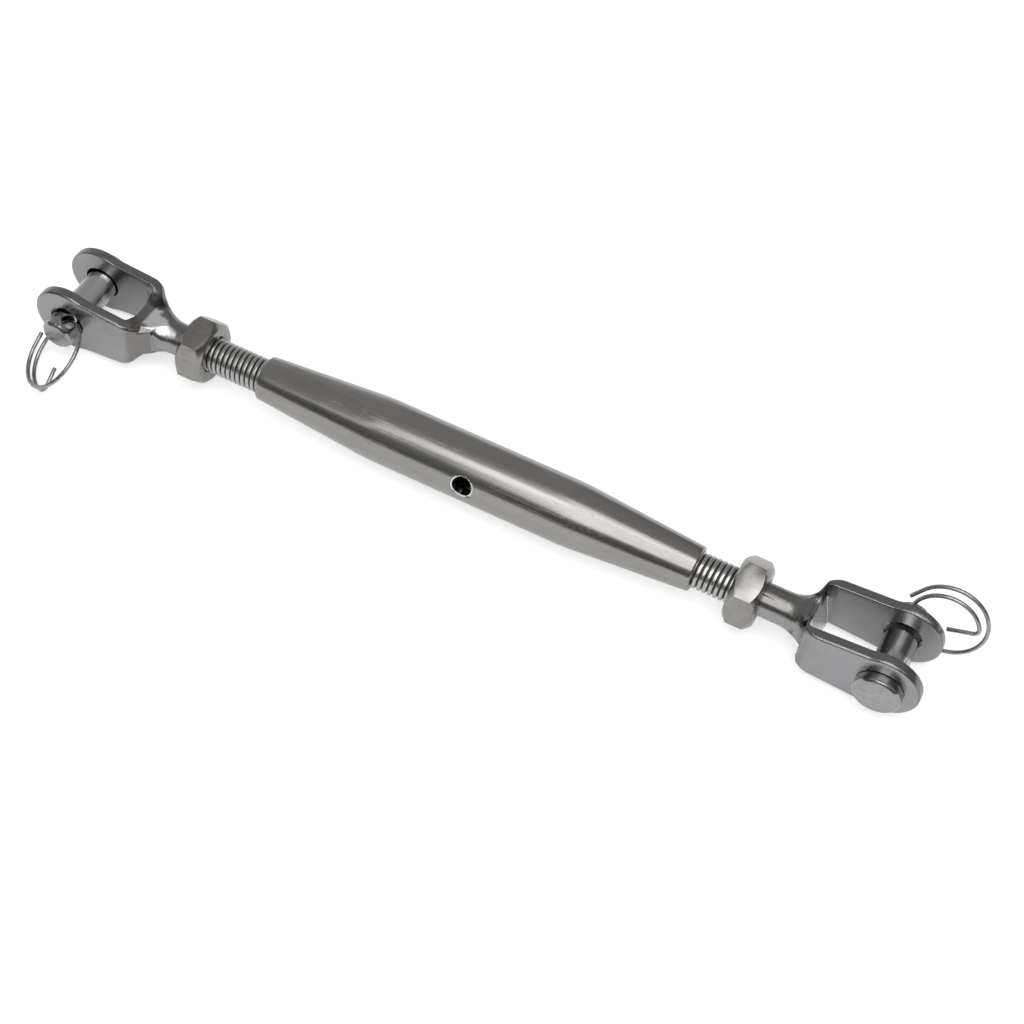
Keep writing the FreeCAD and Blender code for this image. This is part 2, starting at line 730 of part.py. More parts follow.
def check_document(parts):
    """Stop on any object that failed, then on any sub-part without a valid solid."""
    doc.recompute()
    for item in doc.Objects:
        failed = "Invalid" in item.State or "Error" in item.State
        assert not failed, f"{item.Name}: {item.State}"
    for part in parts:
        shape = part.Shape
        assert not shape.isNull() and shape.isValid(), part.Label
        assert len(shape.Solids) == 1, part.Label


def main():
    parts = make_parts()
    check_document(parts)
    os.makedirs("parts", exist_ok=True)
    for part in parts:
        part.Shape.exportStep(f"parts/{part.Label}.step")
        print(f"{part.Label}: {part.Shape.Volume:.1f} mm3, {part.Shape.BoundBox}")


main()
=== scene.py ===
"""Looks of the shroud adjuster: satin and polished stainless steel on a white sweep.

The rigging screw lies along X, its clevis pins along Y, on the rounds of its ears.
Lengths are in millimetres in the classes and in metres in the scene. A reach is how
far a place lies behind a jaw's clevis pin, towards the tube.
"""

import json
import logging
import math
from dataclasses import dataclass
from enum import Enum
from typing import Any

import bpy
from mathutils import Matrix, Vector

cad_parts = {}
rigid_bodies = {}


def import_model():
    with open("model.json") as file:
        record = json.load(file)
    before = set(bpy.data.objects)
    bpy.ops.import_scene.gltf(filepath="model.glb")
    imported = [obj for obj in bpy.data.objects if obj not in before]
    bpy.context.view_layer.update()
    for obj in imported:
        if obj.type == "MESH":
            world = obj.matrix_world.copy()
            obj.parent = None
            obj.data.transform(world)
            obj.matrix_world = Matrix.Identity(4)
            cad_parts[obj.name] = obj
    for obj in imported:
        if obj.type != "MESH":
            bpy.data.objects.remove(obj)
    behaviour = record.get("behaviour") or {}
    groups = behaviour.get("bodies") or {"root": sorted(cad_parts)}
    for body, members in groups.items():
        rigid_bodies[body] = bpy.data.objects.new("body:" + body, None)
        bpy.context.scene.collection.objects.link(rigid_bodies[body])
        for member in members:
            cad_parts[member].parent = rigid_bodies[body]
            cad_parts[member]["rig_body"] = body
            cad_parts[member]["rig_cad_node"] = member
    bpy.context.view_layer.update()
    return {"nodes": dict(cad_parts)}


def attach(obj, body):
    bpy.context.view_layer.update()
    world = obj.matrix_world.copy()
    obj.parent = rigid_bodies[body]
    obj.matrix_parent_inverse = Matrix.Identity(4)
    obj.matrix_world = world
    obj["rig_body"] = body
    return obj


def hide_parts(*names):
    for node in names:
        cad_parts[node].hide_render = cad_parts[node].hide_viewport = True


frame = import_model()

LOG = logging.getLogger("shroud_adjuster")
MM = 0.001
FLOOR_Z = -10.3 * MM

# Places on the screw, and how far the tommy-bar hole is lifted, in degrees.
LEFT_PIN_X = -121.4
RIGHT_PIN_X = 117.8
PIN_Z = -0.45
CROSS_HOLE_Y = 11.9
BAR_HOLE_LIFT = 17.8

# Points this close are merged. A cut's threshold is in metres, a flat's in degrees.
POINTS_MEET = 0.002
SAME_POINT = 0.0005
CUT_THRESHOLD = 1e-6
FLAT_WITHIN = 0.6

Colour = tuple[float, float, float]
Point = tuple[float, float, float]
Span = tuple[float, float]
Spot = tuple[float, float]
Stops = tuple[Spot, ...]


class Side(Enum):
    """End of the screw: its name, the way out along X and the hand of its thread."""

    LEFT = ("left", -1, -1)
    RIGHT = ("right", 1, 1)

    @property
    def label(self) -> str:
        """Word that its pieces' names start with."""
        return self.value[0]

    @property
    def outward(self) -> int:
        """Sign of X towards this end."""
        return self.value[1]

    @property
    def hand(self) -> int:
        """1 for a right-hand thread, -1 for a left-hand one."""
        return self.value[2]


# Shader maths.


class Wire:
    """One value in a shader, on which arithmetic adds Math nodes."""

    def __init__(self, bench: "Bench", socket: bpy.types.NodeSocket) -> None:
        """Wraps an output socket on a bench."""
        self.bench = bench
        self.socket = socket

    def __add__(self, other: Any) -> "Wire":
        """Sum."""
        return self.bench.math("ADD", self, other)

    def __radd__(self, other: Any) -> "Wire":
        """Sum, number first."""
        return self.bench.math("ADD", other, self)

    def __sub__(self, other: Any) -> "Wire":
        """Difference."""
        return self.bench.math("SUBTRACT", self, other)

    def __rsub__(self, other: Any) -> "Wire":
        """Difference, number first."""
        return self.bench.math("SUBTRACT", other, self)

    def __mul__(self, other: Any) -> "Wire":
        """Product."""
        return self.bench.math("MULTIPLY", self, other)

    def __rmul__(self, other: Any) -> "Wire":
        """Product, number first."""
        return self.bench.math("MULTIPLY", other, self)

    def magnitude(self) -> "Wire":
        """The value without its sign."""
        return self.bench.math("ABSOLUTE", self)

    def ramp(self, low: float, high: float) -> "Wire":
        """Smooth step.

        Args:
            low: Value at which the step is 0.
            high: Value at which it is 1, which may be the lower of the two.

        Returns:
            The step.
        """
        node = self.bench.add(
            "ShaderNodeMapRange",
            {"interpolation_type": "SMOOTHSTEP"},
            {"Value": self, "From Min": low, "From Max": high},
        )
        return Wire(self.bench, node.outputs["Result"])


class Bench:
    """Node tree being wired up."""

    def __init__(self, tree: bpy.types.NodeTree) -> None:
        """Clears the tree."""
        self.tree = tree
        tree.nodes.clear()

    def add(self, kind: str, settings: dict[str, Any], inputs: dict[Any, Any]) -> bpy.types.Node:
        """Adds a node.

        Args:
            kind: The node's type.
            settings: Its properties, set first.
            inputs: Values or wires for its sockets, by name or number.

        Returns:
            The node.
        """
        node = self.tree.nodes.new(kind)
        for name, value in settings.items():
            setattr(node, name, value)
        for key, value in inputs.items():
            socket = node.inputs[key]
            if isinstance(value, Wire):
                self.tree.links.new(value.socket, socket)
            elif isinstance(value, tuple) and len(value) == 3 and socket.type == "RGBA":
                socket.default_value = (*value, 1.0)
            else:
                socket.default_value = value
        return node

    def math(self, operation: str, *values: Any) -> Wire:
        """One Math node over numbers or wires."""
        node = self.add("ShaderNodeMath", {"operation": operation}, dict(enumerate(values)))
        return Wire(self, node.outputs[0])

    def length(self, first: Wire, second: Wire) -> Wire:
        """Length of a line with these two sides."""
        return self.math("SQRT", first * first + second * second)

    def place_mm(self) -> Wire:
        """Place on the object, in millimetres.

        Returns:
            The place.
        """
        coordinates = self.add("ShaderNodeTexCoord", {}, {})
        place = Wire(self, coordinates.outputs["Object"])
        scaled = self.add(
            "ShaderNodeVectorMath", {"operation": "SCALE"}, {0: place, "Scale": 1 / MM}
        )
        return Wire(self, scaled.outputs[0])

    def facing(self) -> tuple[Wire, Wire, Wire]:
        """The three parts of the surface's own direction on the object."""
        coordinates = self.add("ShaderNodeTexCoord", {}, {})
        return self.split(Wire(self, coordinates.outputs["Normal"]))

    def split(self, vector: Wire) -> tuple[Wire, Wire, Wire]:
        """X, Y and Z of a vector."""
        node = self.add("ShaderNodeSeparateXYZ", {}, {0: vector})
        return tuple(Wire(self, output) for output in node.outputs)

    def joined(self, x: Any, y: Any, z: Any) -> Wire:
        """Vector of three values."""
        node = self.add("ShaderNodeCombineXYZ", {}, {0: x, 1: y, 2: z})
        return Wire(self, node.outputs[0])

    def noise(
        self, place: Wire, grain: float | Point, detail: float = 2.0, rough: float = 0.5
    ) -> Wire:
        """Noise of 0 to 1.

        Args:
            place: Where it is read.
            grain: Waves a millimetre: one number, or one for each axis to draw it out.
            detail: How many finer layers it has.
            rough: How strong they are.

        Returns:
            The noise.
        """
        scale = grain
        if isinstance(grain, tuple):
            multiply = {"operation": "MULTIPLY"}
            drawn_out = self.add("ShaderNodeVectorMath", multiply, {0: place, 1: grain})
            place, scale = Wire(self, drawn_out.outputs[0]), 1.0
        node = self.add(
            "ShaderNodeTexNoise",
            {},
            {"Vector": place, "Scale": scale, "Detail": detail, "Roughness": rough},
        )
        return Wire(self, node.outputs["Fac"])

    def blend(self, share: Any, first: Any, second: Any) -> Wire:
        """Colour between two colours."""
        node = self.add("ShaderNodeMix", {"data_type": "RGBA"}, {0: share, 6: first, 7: second})
        return Wire(self, node.outputs[2])

    def bump(self, height: Wire, depth_mm: float) -> Wire:
        """Relief of a height of 0 to 1."""
        node = self.add("ShaderNodeBump", {}, {"Height": height, "Distance": depth_mm * MM})
        return Wire(self, node.outputs[0])

    def steel(self, colour: Any, roughness: Any, normal: Wire) -> None:
        """Bare steel surface and the tree's output."""
        surface = self.add(
            "ShaderNodeBsdfPrincipled",
            {},
            {"Base Color": colour, "Roughness": roughness, "Metallic": 1.0, "Normal": normal},
        )
        self.add("ShaderNodeOutputMaterial", {}, {"Surface": Wire(self, surface.outputs[0])})


def new_material(name: str) -> tuple[bpy.types.Material, Bench]:
    """Makes an empty material.

    Args:
        name: Its name.

    Returns:
        The material and the bench that its nodes are wired on.
    """
    material = bpy.data.materials.new(name)
    material.use_nodes = True
    return material, Bench(material.node_tree)


# Finishes. A grain is a pattern's waves a millimetre, a step is where a smooth step
# starts and ends, and in a sum of patterns each one's factor is its share.


@dataclass(frozen=True)
class Finish:
    """Steel surface of one kind of piece."""

    name: str

    def wire_up(self, bench: Bench) -> None:
        """Wires the finish, in each kind's own way.

        Args:
            bench: Where it is wired.
        """
        raise NotImplementedError

    def make(self) -> bpy.types.Material:
        """Makes the material of this finish.

        Returns:
            The material.
        """
        material, bench = new_material(self.name)
        self.wire_up(bench)
        return material


@dataclass(frozen=True)
class PolishedTube(Finish):
    """Turned tube polished along its length, with the grinding lines left in it."""

    name: str = "polished_tube_steel"
    light: Colour = (0.385, 0.375, 0.362)
    dark: Colour = (0.30, 0.29, 0.278)
    # painted highlight: the near-white colour of the cross hole's rims
    rim: Colour = (0.85, 0.84, 0.82)
    line_grain: Point = (0.02, 5.0, 5.0)
    streak_grain: Point = (0.025, 0.9, 0.9)
    cloud_grain: float = 0.09
    nick_grain: Point = (0.25, 1.9, 2.6)
    nick_step: Span = (0.71, 0.76)
    hair_grain: Point = (0.06, 6.5, 6.5)
    hair_step: Span = (0.66, 0.71)
    scuffed_clouds: Span = (0.42, 0.58)
    tone_step: Span = (0.25, 0.75)
    scratch_depth: float = 0.006
    rim_step: Span = (3.26, 3.14)
    hole_lift: float = BAR_HOLE_LIFT

    def wire_up(self, bench: Bench) -> None:
        """Grinding lines, nicks and scuffs, and a painted highlight on the cross hole's rims.

        Args:
            bench: Where it is wired.
        """
        place = bench.place_mm()
        x, y, z = bench.split(place)
        lift = math.radians(self.hole_lift)
        off_hole = y * math.sin(lift) + z * math.cos(lift)
        painted_rim_highlight = bench.length(x, off_hole).ramp(*self.rim_step)
        lines = bench.noise(place, self.line_grain, detail=3.0, rough=0.6)
        streaks = bench.noise(place, self.streak_grain)
        clouds = bench.noise(place, self.cloud_grain)
        nicks = bench.noise(place, self.nick_grain, detail=1.0).ramp(*self.nick_step)
        hairs = bench.noise(place, self.hair_grain, detail=1.0).ramp(*self.hair_step)
        scuffs = hairs * clouds.ramp(*self.scuffed_clouds)
        patches = lines * 0.45 + streaks * 0.35 + clouds * 0.2 - nicks * 0.25
        tone = patches.ramp(*self.tone_step) + scuffs * 0.6
        # painted highlight: the cross hole's rims are blended to the near-white rim colour
        colour = bench.blend(painted_rim_highlight, bench.blend(tone, self.dark, self.light), self.rim)
        roughness = 0.12 + streaks * 0.07 + lines * 0.08 + nicks * 0.1 + scuffs * 0.12
        scratches = lines - nicks * 0.6 - scuffs * 0.8
        bench.steel(colour, roughness, bench.bump(scratches, self.scratch_depth))


@dataclass(frozen=True)
class SatinForging(Finish):
    """Forged steel, blasted and rubbed: smooth on the ears' faces, pitted on their edges."""

    name: str = "satin_forged_steel"
    face: Colour = (0.37, 0.375, 0.385)
    edge: Colour = (0.25, 0.243, 0.235)
    # painted reflection: the slots' end walls are painted near white
    slot_end: Colour = (0.93, 0.93, 0.92)
    # painted highlight: a near-white patch on top of the left neck
    bare: Colour = (0.93, 0.93, 0.92)
    # painted shade: near-black patches in the far corners of the crotches
    scale: Colour = (0.03, 0.028, 0.025)
    grain: float = 1.9
    wave_grain: float = 0.16
    pit_grain: float = 3.2
    dent_grain: float = 1.1
    rub_grain: Point = (0.35, 3.0, 1.4)
    ragged_grain: float = 0.55
    cheek_step: Span = (0.75, 0.97)
    outward_step: Span = (0.5, 0.8)
    slot_side_step: Span = (7.2, 6.6)
    slot_end_step: Span = (107.0, 106.0)
    top_step: Span = (2.2, 3.6)
    worn_step: Span = (0.42, 0.68)
    dent_step: Span = (0.62, 0.74)
    pit_depth: float = 0.022
    bare_start: Span = (20.2, 21.4)
    bare_end: Span = (30.8, 29.8)
    bare_rim: Span = (-0.6, 0.9)
    bare_from: float = 22.5
    bare_half_width: float = 3.4
    bare_narrowing: float = 0.33
    bare_off_middle: float = 0.9
    bare_slant: float = 0.2
    bare_raggedness: float = 4.0
    left_scale: Spot = (20.2, 4.4)
    right_scale: Spot = (22.1, 5.4)
    scale_step: Span = (2.9, 1.3)

    def bare_on_neck(self, bench: Bench, reach: Wire, y: Wire, ragged: Wire) -> Wire:
        """Share of the painted highlight on top of the left neck, which narrows to the shank.

        Args:
            bench: Not used.
            reach: Reach behind the left pin.
            y: Place across the screw.
            ragged: Noise that frays its rim.

        Returns:
            1 on the highlight and 0 around it.
        """
        along = reach - self.bare_from
        off_middle = (y + self.bare_off_middle + along * self.bare_slant).magnitude()
        inside = self.bare_half_width - along * self.bare_narrowing - off_middle
        frayed = (inside + (ragged - 0.5) * self.bare_raggedness).ramp(*self.bare_rim)
        return frayed * (reach.ramp(*self.bare_start) * reach.ramp(*self.bare_end))

    def scale_at(self, bench: Bench, reach: Wire, y: Wire, centre: Spot) -> Wire:
        """Share of the painted shade in the far corner of a crotch.

        Args:
            bench: Where it is wired.
            reach: Reach behind this end's pin.
            y: Place across the screw.
            centre: Reach and Y of the patch's middle.

        Returns:
            1 at the middle and 0 around the patch.
        """
        along, across = reach - centre[0], y - centre[1]
        off_centre = bench.math("SQRT", along * along * 0.5 + across * across)
        return off_centre.ramp(*self.scale_step)

    def wire_up(self, bench: Bench) -> None:
        """Rubbed faces, pitted edges, and painted slot-end reflections, neck highlight and crotch
        shade.

        Args:
            bench: Where it is wired.
        """
        place = bench.place_mm()
        x, y, z = bench.split(place)
        along, across, _ = bench.facing()
        flat = across.magnitude().ramp(*self.cheek_step)
        outward = (along * bench.math("SIGN", x)).ramp(*self.outward_step)
        in_slot = y.magnitude().ramp(*self.slot_side_step) * x.magnitude().ramp(*self.slot_end_step)
        grain = bench.noise(place, self.grain, detail=3.0, rough=0.6)
        waves = bench.noise(place, self.wave_grain, detail=1.0)
        pits = bench.noise(place, self.pit_grain, detail=2.0, rough=0.7)
        dents = bench.noise(place, self.dent_grain, detail=1.0).ramp(*self.dent_step)
        rubbed = bench.noise(place, self.rub_grain)
        ragged = bench.noise(place, self.ragged_grain, detail=3.0, rough=0.65)
        worn = (1 - flat) * pits.ramp(*self.worn_step) * 0.3
        skin = bench.blend(flat * 0.85 + (waves - 0.5) * 0.5 - worn, self.edge, self.face)
        left_reach, right_reach = x - LEFT_PIN_X, RIGHT_PIN_X - x
        on_top = z.ramp(*self.top_step)
        # painted highlight on top of the left neck
        bare = self.bare_on_neck(bench, left_reach, y, ragged) * on_top
        # painted shade in the far corners of both crotches
        patches = self.scale_at(bench, left_reach, y, self.left_scale)
        patches = patches + self.scale_at(bench, right_reach, y, self.right_scale)
        scale = patches * on_top * (0.7 + ragged * 0.5)
        colour = bench.blend(bare, skin, self.bare)
        # painted reflection: the slots' end walls are painted near white
        colour = bench.blend(outward * in_slot, colour, self.slot_end)
        colour = bench.blend(scale, colour, self.scale)
        roughness = 0.17 + grain * 0.05 + flat * 0.05 + rubbed * 0.04 + worn * 0.2
        roughness = roughness + bare * 0.08 + scale * 0.25
        edge_relief = (1 - flat) * (pits * 0.6 + rubbed * 0.5 - dents * 0.5)
        relief = edge_relief + grain * 0.1 + waves + bare * ragged * 1.5
        bench.steel(colour, roughness, bench.bump(relief, self.pit_depth))


@dataclass(frozen=True)
class RolledThread(Finish):
    """Rolled thread: bright crests over dull roots, which are painted dark as shade."""

    name: str = "rolled_thread_steel"
    crest: Colour = (0.50, 0.495, 0.485)
    # painted shade: the thread's roots are painted near black
    root: Colour = (0.12, 0.115, 0.11)
    crest_step: Span = (4.3, 4.85)
    grain: float = 2.4
    grain_depth: float = 0.006

    def wire_up(self, bench: Bench) -> None:
        """Tone and gloss by the height of the tooth, the dark roots being painted shade.

        Args:
            bench: Where it is wired.
        """
        place = bench.place_mm()
        _, y, z = bench.split(place)
        height = bench.length(y, z).ramp(*self.crest_step)
        grain = bench.noise(place, self.grain)
        # painted shade darkens the roots; the crests keep the lighter colour
        colour = bench.blend(height, self.root, self.crest)
        roughness = 0.42 - height * 0.2 + grain * 0.08
        bench.steel(colour, roughness, bench.bump(grain, self.grain_depth))


@dataclass(frozen=True)
class SatinNut(Finish):
    """Machined nut: faces turned, flats drawn, then satin finished."""

    name: str = "satin_nut_steel"
    light: Colour = (0.37, 0.36, 0.345)
    dark: Colour = (0.285, 0.277, 0.265)
    ring_grain: float = 5.0
    drawn_grain: Point = (0.15, 3.5, 3.5)
    cloud_grain: float = 0.35
    face_step: Span = (0.6, 0.95)
    tone_step: Span = (0.25, 0.75)
    line_depth: float = 0.006

    def wire_up(self, bench: Bench) -> None:
        """Turned rings on the two faces and drawn lines on the six flats.

        Args:
            bench: Where it is wired.
        """
        place = bench.place_mm()
        _, y, z = bench.split(place)
        along, _, _ = bench.facing()
        faced = along.magnitude().ramp(*self.face_step)
        ring_place = bench.joined(bench.length(y, z) * self.ring_grain, 0.0, 0.0)
        rings = bench.noise(ring_place, 1.0)
        drawn = bench.noise(place, self.drawn_grain)
        lines = rings * faced + drawn * (1 - faced)
        clouds = bench.noise(place, self.cloud_grain)
        tone = (lines * 0.5 + clouds * 0.5).ramp(*self.tone_step)
        roughness = 0.15 + lines * 0.06 + clouds * 0.06
        normal = bench.bump(lines + clouds * 0.8, self.line_depth)
        bench.steel(bench.blend(tone, self.dark, self.light), roughness, normal)


@dataclass(frozen=True)
class TurnedPin(Finish):
    """Clevis pin, turned bright, with a painted reflection between the ears, its head's face
    scuffed.
    """

    name: str = "turned_pin_steel"
    light: Colour = (0.43, 0.43, 0.435)
    dark: Colour = (0.33, 0.325, 0.32)
    # painted reflection: the lighter colour of the pin between the ears
    rubbed: Colour = (0.62, 0.62, 0.625)
    turned_grain: Point = (0.12, 4.5, 0.12)
    scuff_grain: Point = (0.5, 0.5, 2.6)
    face_step: Span = (0.8, 0.98)
    tone_step: Span = (0.3, 0.7)
    rubbed_step: Span = (7.3, 6.7)
    mark_depth: float = 0.005

    def wire_up(self, bench: Bench) -> None:
        """Turned lines round the pin, scuffs on its ends and a painted reflection in the middle.

        Args:
            bench: Where it is wired.
        """
        place = bench.place_mm()
        _, y, _ = bench.split(place)
        _, across, _ = bench.facing()
        flat = across.magnitude().ramp(*self.face_step)
        turned = bench.noise(place, self.turned_grain)
        scuffs = bench.noise(place, self.scuff_grain, detail=3.0, rough=0.65)
        marks = turned * (1 - flat) + scuffs * flat
        between_ears = y.magnitude().ramp(*self.rubbed_step)
        skin = bench.blend(marks.ramp(*self.tone_step), self.dark, self.light)
        # painted reflection: the pin is painted lighter between the ears
        colour = bench.blend(between_ears * 0.8, skin, self.rubbed)
        roughness = 0.11 + marks * 0.08 + flat * 0.12
        bench.steel(colour, roughness, bench.bump(marks, self.mark_depth))


@dataclass(frozen=True)
class DrawnWire(Finish):
    """Bright drawn wire of the split rings."""

    name: str = "drawn_wire_steel"
    light: Colour = (0.45, 0.445, 0.44)
    dark: Colour = (0.33, 0.325, 0.32)
    mottle_grain: float = 0.8
    fine_grain: float = 5.0
    tone_step: Span = (0.3, 0.7)
    fine_depth: float = 0.002

    def wire_up(self, bench: Bench) -> None:
        """Mottled tone and a fine relief.

        Args:
            bench: Where it is wired.
        """
        place = bench.place_mm()
        mottled = bench.noise(place, self.mottle_grain, detail=3.0)
        fine = bench.noise(place, self.fine_grain)
        colour = bench.blend(mottled.ramp(*self.tone_step), self.dark, self.light)
        bench.steel(colour, 0.2 + mottled * 0.12, bench.bump(fine, self.fine_depth))


# Work on meshes.


def pick_only(*objects: bpy.types.Object) -> None:
    """Selects some objects and nothing else.

    Args:
        *objects: The objects, of which the first becomes active.
    """
    bpy.ops.object.select_all(action="DESELECT")
    for item in objects:
        item.select_set(True)
    bpy.context.view_layer.objects.active = objects[0]


def edit_whole(item: bpy.types.Object, operator: Any, **settings: Any) -> None:
    """Runs one edit-mode operator with the whole mesh selected.

    Args:
        item: The piece.
        operator: The operator, from bpy.ops.mesh.
        **settings: What it is called with.
    """
    pick_only(item)
    bpy.ops.object.mode_set(mode="EDIT")
    bpy.ops.mesh.select_all(action="SELECT")
    operator(**settings)
    bpy.ops.object.mode_set(mode="OBJECT")


def apply_modifier(item: bpy.types.Object, kind: str, settings: dict[str, Any]) -> None:
    """Adds a modifier and applies it.

    Args:
        item: The piece.
        kind: The modifier's type.
        settings: Its properties.
    """
    pick_only(item)
    modifier = item.modifiers.new(kind.title(), kind)
    for name, value in settings.items():
        setattr(modifier, name, value)
    bpy.ops.object.modifier_apply(modifier=modifier.name)


def merge_points(item: bpy.types.Object, distance_mm: float) -> None:
    """Merges points that lie this close together."""
    edit_whole(item, bpy.ops.mesh.remove_doubles, threshold=distance_mm * MM)


def join_flats(item: bpy.types.Object) -> None:
    """Joins the triangles of each flat face."""
    edit_whole(item, bpy.ops.mesh.dissolve_limited, angle_limit=math.radians(FLAT_WITHIN))


def face_outwards(item: bpy.types.Object) -> None:
    """Turns every face of a closed mesh outwards."""
    edit_whole(item, bpy.ops.mesh.normals_make_consistent, inside=False)


def saw_off(item: bpy.types.Object, x_mm: float, drop: int) -> None:
    """Cuts straight across X and closes the cut.

    Args:
        item: The piece to cut.
        x_mm: Where the cut goes.
        drop: 1 to take off what lies at higher X, -1 at lower X.
    """
    edit_whole(
        item,
        bpy.ops.mesh.bisect,
        plane_co=(x_mm * MM, 0, 0),
        plane_no=(drop, 0, 0),
        use_fill=True,
        clear_outer=True,
        threshold=CUT_THRESHOLD,
    )


def cut_across(item: bpy.types.Object, axis: int, places_mm: list[float], stretch_mm: Span) -> None:
    """Adds a row of points wherever these planes cross the faces in a stretch of X.

    Args:
        item: The piece.
        axis: 0, 1 or 2 for planes that X, Y or Z runs through.
        places_mm: Where the planes lie along that axis.
        stretch_mm: The two ends of the stretch, in either order.
    """
    low, high = sorted(stretch_mm)
    pick_only(item)
    for place in places_mm:
        spot = [0.0, 0.0, 0.0]
        way = [0.0, 0.0, 0.0]
        spot[axis] = place * MM
        way[axis] = 1.0
        bpy.ops.object.mode_set(mode="EDIT")
        bpy.ops.mesh.select_mode(type="FACE")
        bpy.ops.mesh.select_all(action="DESELECT")
        bpy.ops.object.mode_set(mode="OBJECT")
        for polygon in item.data.polygons:
            polygon.select = low < polygon.center.x / MM < high
        bpy.ops.object.mode_set(mode="EDIT")
        bpy.ops.mesh.bisect(plane_co=spot, plane_no=way, threshold=CUT_THRESHOLD)
        bpy.ops.mesh.select_mode(type="VERT")
        bpy.ops.object.mode_set(mode="OBJECT")


def soften_edges(item: bpy.types.Object, width_mm: float, degrees: float) -> None:
    """Joins the flats, then bevels the edges.

    Args:
        item: The piece.
        width_mm: Width of the bevel.
        degrees: Edges sharper than this are bevelled.
    """
    join_flats(item)
    bevel = {
        "width": width_mm * MM,
        "segments": 2,
        "limit_method": "ANGLE",
        "angle_limit": math.radians(degrees),
    }
    apply_modifier(item, "BEVEL", bevel)


def shade(item: bpy.types.Object, degrees: float) -> None:
    """Smooth shading, with edges sharper than this kept."""
    pick_only(item)
    bpy.ops.object.shade_smooth_by_angle(angle=math.radians(degrees))


def draw_line(points: list[Vector]) -> bpy.types.Object:
    """Draws an open line by extruding its first point.

    Args:
        points: Its points, in millimetres.

    Returns:
        The line, selected and active.
    """
    bpy.ops.object.select_all(action="DESELECT")
    bpy.ops.mesh.primitive_plane_add(size=MM, location=points[0] * MM)
    bpy.ops.object.mode_set(mode="EDIT")
    bpy.ops.mesh.select_all(action="SELECT")
    bpy.ops.mesh.merge(type="CENTER")
    for here, there in zip(points, points[1:]):
        move = (there - here) * MM
        bpy.ops.mesh.extrude_region_move(TRANSFORM_OT_translate={"value": move})
    bpy.ops.object.mode_set(mode="OBJECT")
    line = bpy.context.active_object
    pick_only(line)
    bpy.ops.object.transform_apply(location=True, rotation=True, scale=True)
    return line


def turn_profile(corners: list[Spot], turning: dict[str, Any]) -> bpy.types.Object:
    """Turns an outline about X with the Screw modifier.

    Args:
        corners: Place along X and radius of each corner, in millimetres.
        turning: The modifier's settings, apart from its axis.

    Returns:
        The turned piece.
    """
    piece = draw_line([Vector((x, 0.0, radius)) for x, radius in corners])
    apply_modifier(piece, "SCREW", {"axis": "X", **turning})
    merge_points(piece, POINTS_MEET)
    return piece


def between(value: float, stops: Stops) -> float:
    """Reads a row of stops joined by straight lines and held flat outside them.

    Args:
        value: Place to read it at.
        stops: Place and amount of each stop.

    Returns:
        The amount there.
    """
    if value <= stops[0][0]:
        return stops[0][1]
    for (x0, y0), (x1, y1) in zip(stops, stops[1:]):
        if value <= x1:
            return y0 + (y1 - y0) * (value - x0) / (x1 - x0)
    return stops[-1][1]


def copy_of(node: str, name: str) -> bpy.types.Object:
    """Copies a CAD node and joins the copy's loose triangles.

    Args:
        node: The node.
        name: Name of the copy.

    Returns:
        The copy, which hand_over puts in the node's place.
    """
    source = frame["nodes"][node]
    piece = source.copy()
    piece.data = source.data.copy()
    piece.name = name
    piece.data.name = name
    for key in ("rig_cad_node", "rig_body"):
        if key in piece:
            del piece[key]
    piece.parent = None
    piece.matrix_world = Matrix.Identity(4)
    bpy.context.scene.collection.objects.link(piece)
    merge_points(piece, SAME_POINT)
    return piece


def dress(piece: bpy.types.Object, material: bpy.types.Material) -> None:
    """Gives the piece this material alone."""
    piece.data.materials.clear()
    piece.data.materials.append(material)


def hand_over(piece: bpy.types.Object, node: str) -> None:
    """Lets a piece stand for a node and reports it.

    Args:
        piece: The finished piece.
        node: The node that it replaces and rides on.
    """
    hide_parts(node)
    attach(piece, node)
    LOG.info("%s: %d faces", piece.name, len(piece.data.polygons))


# Pieces.


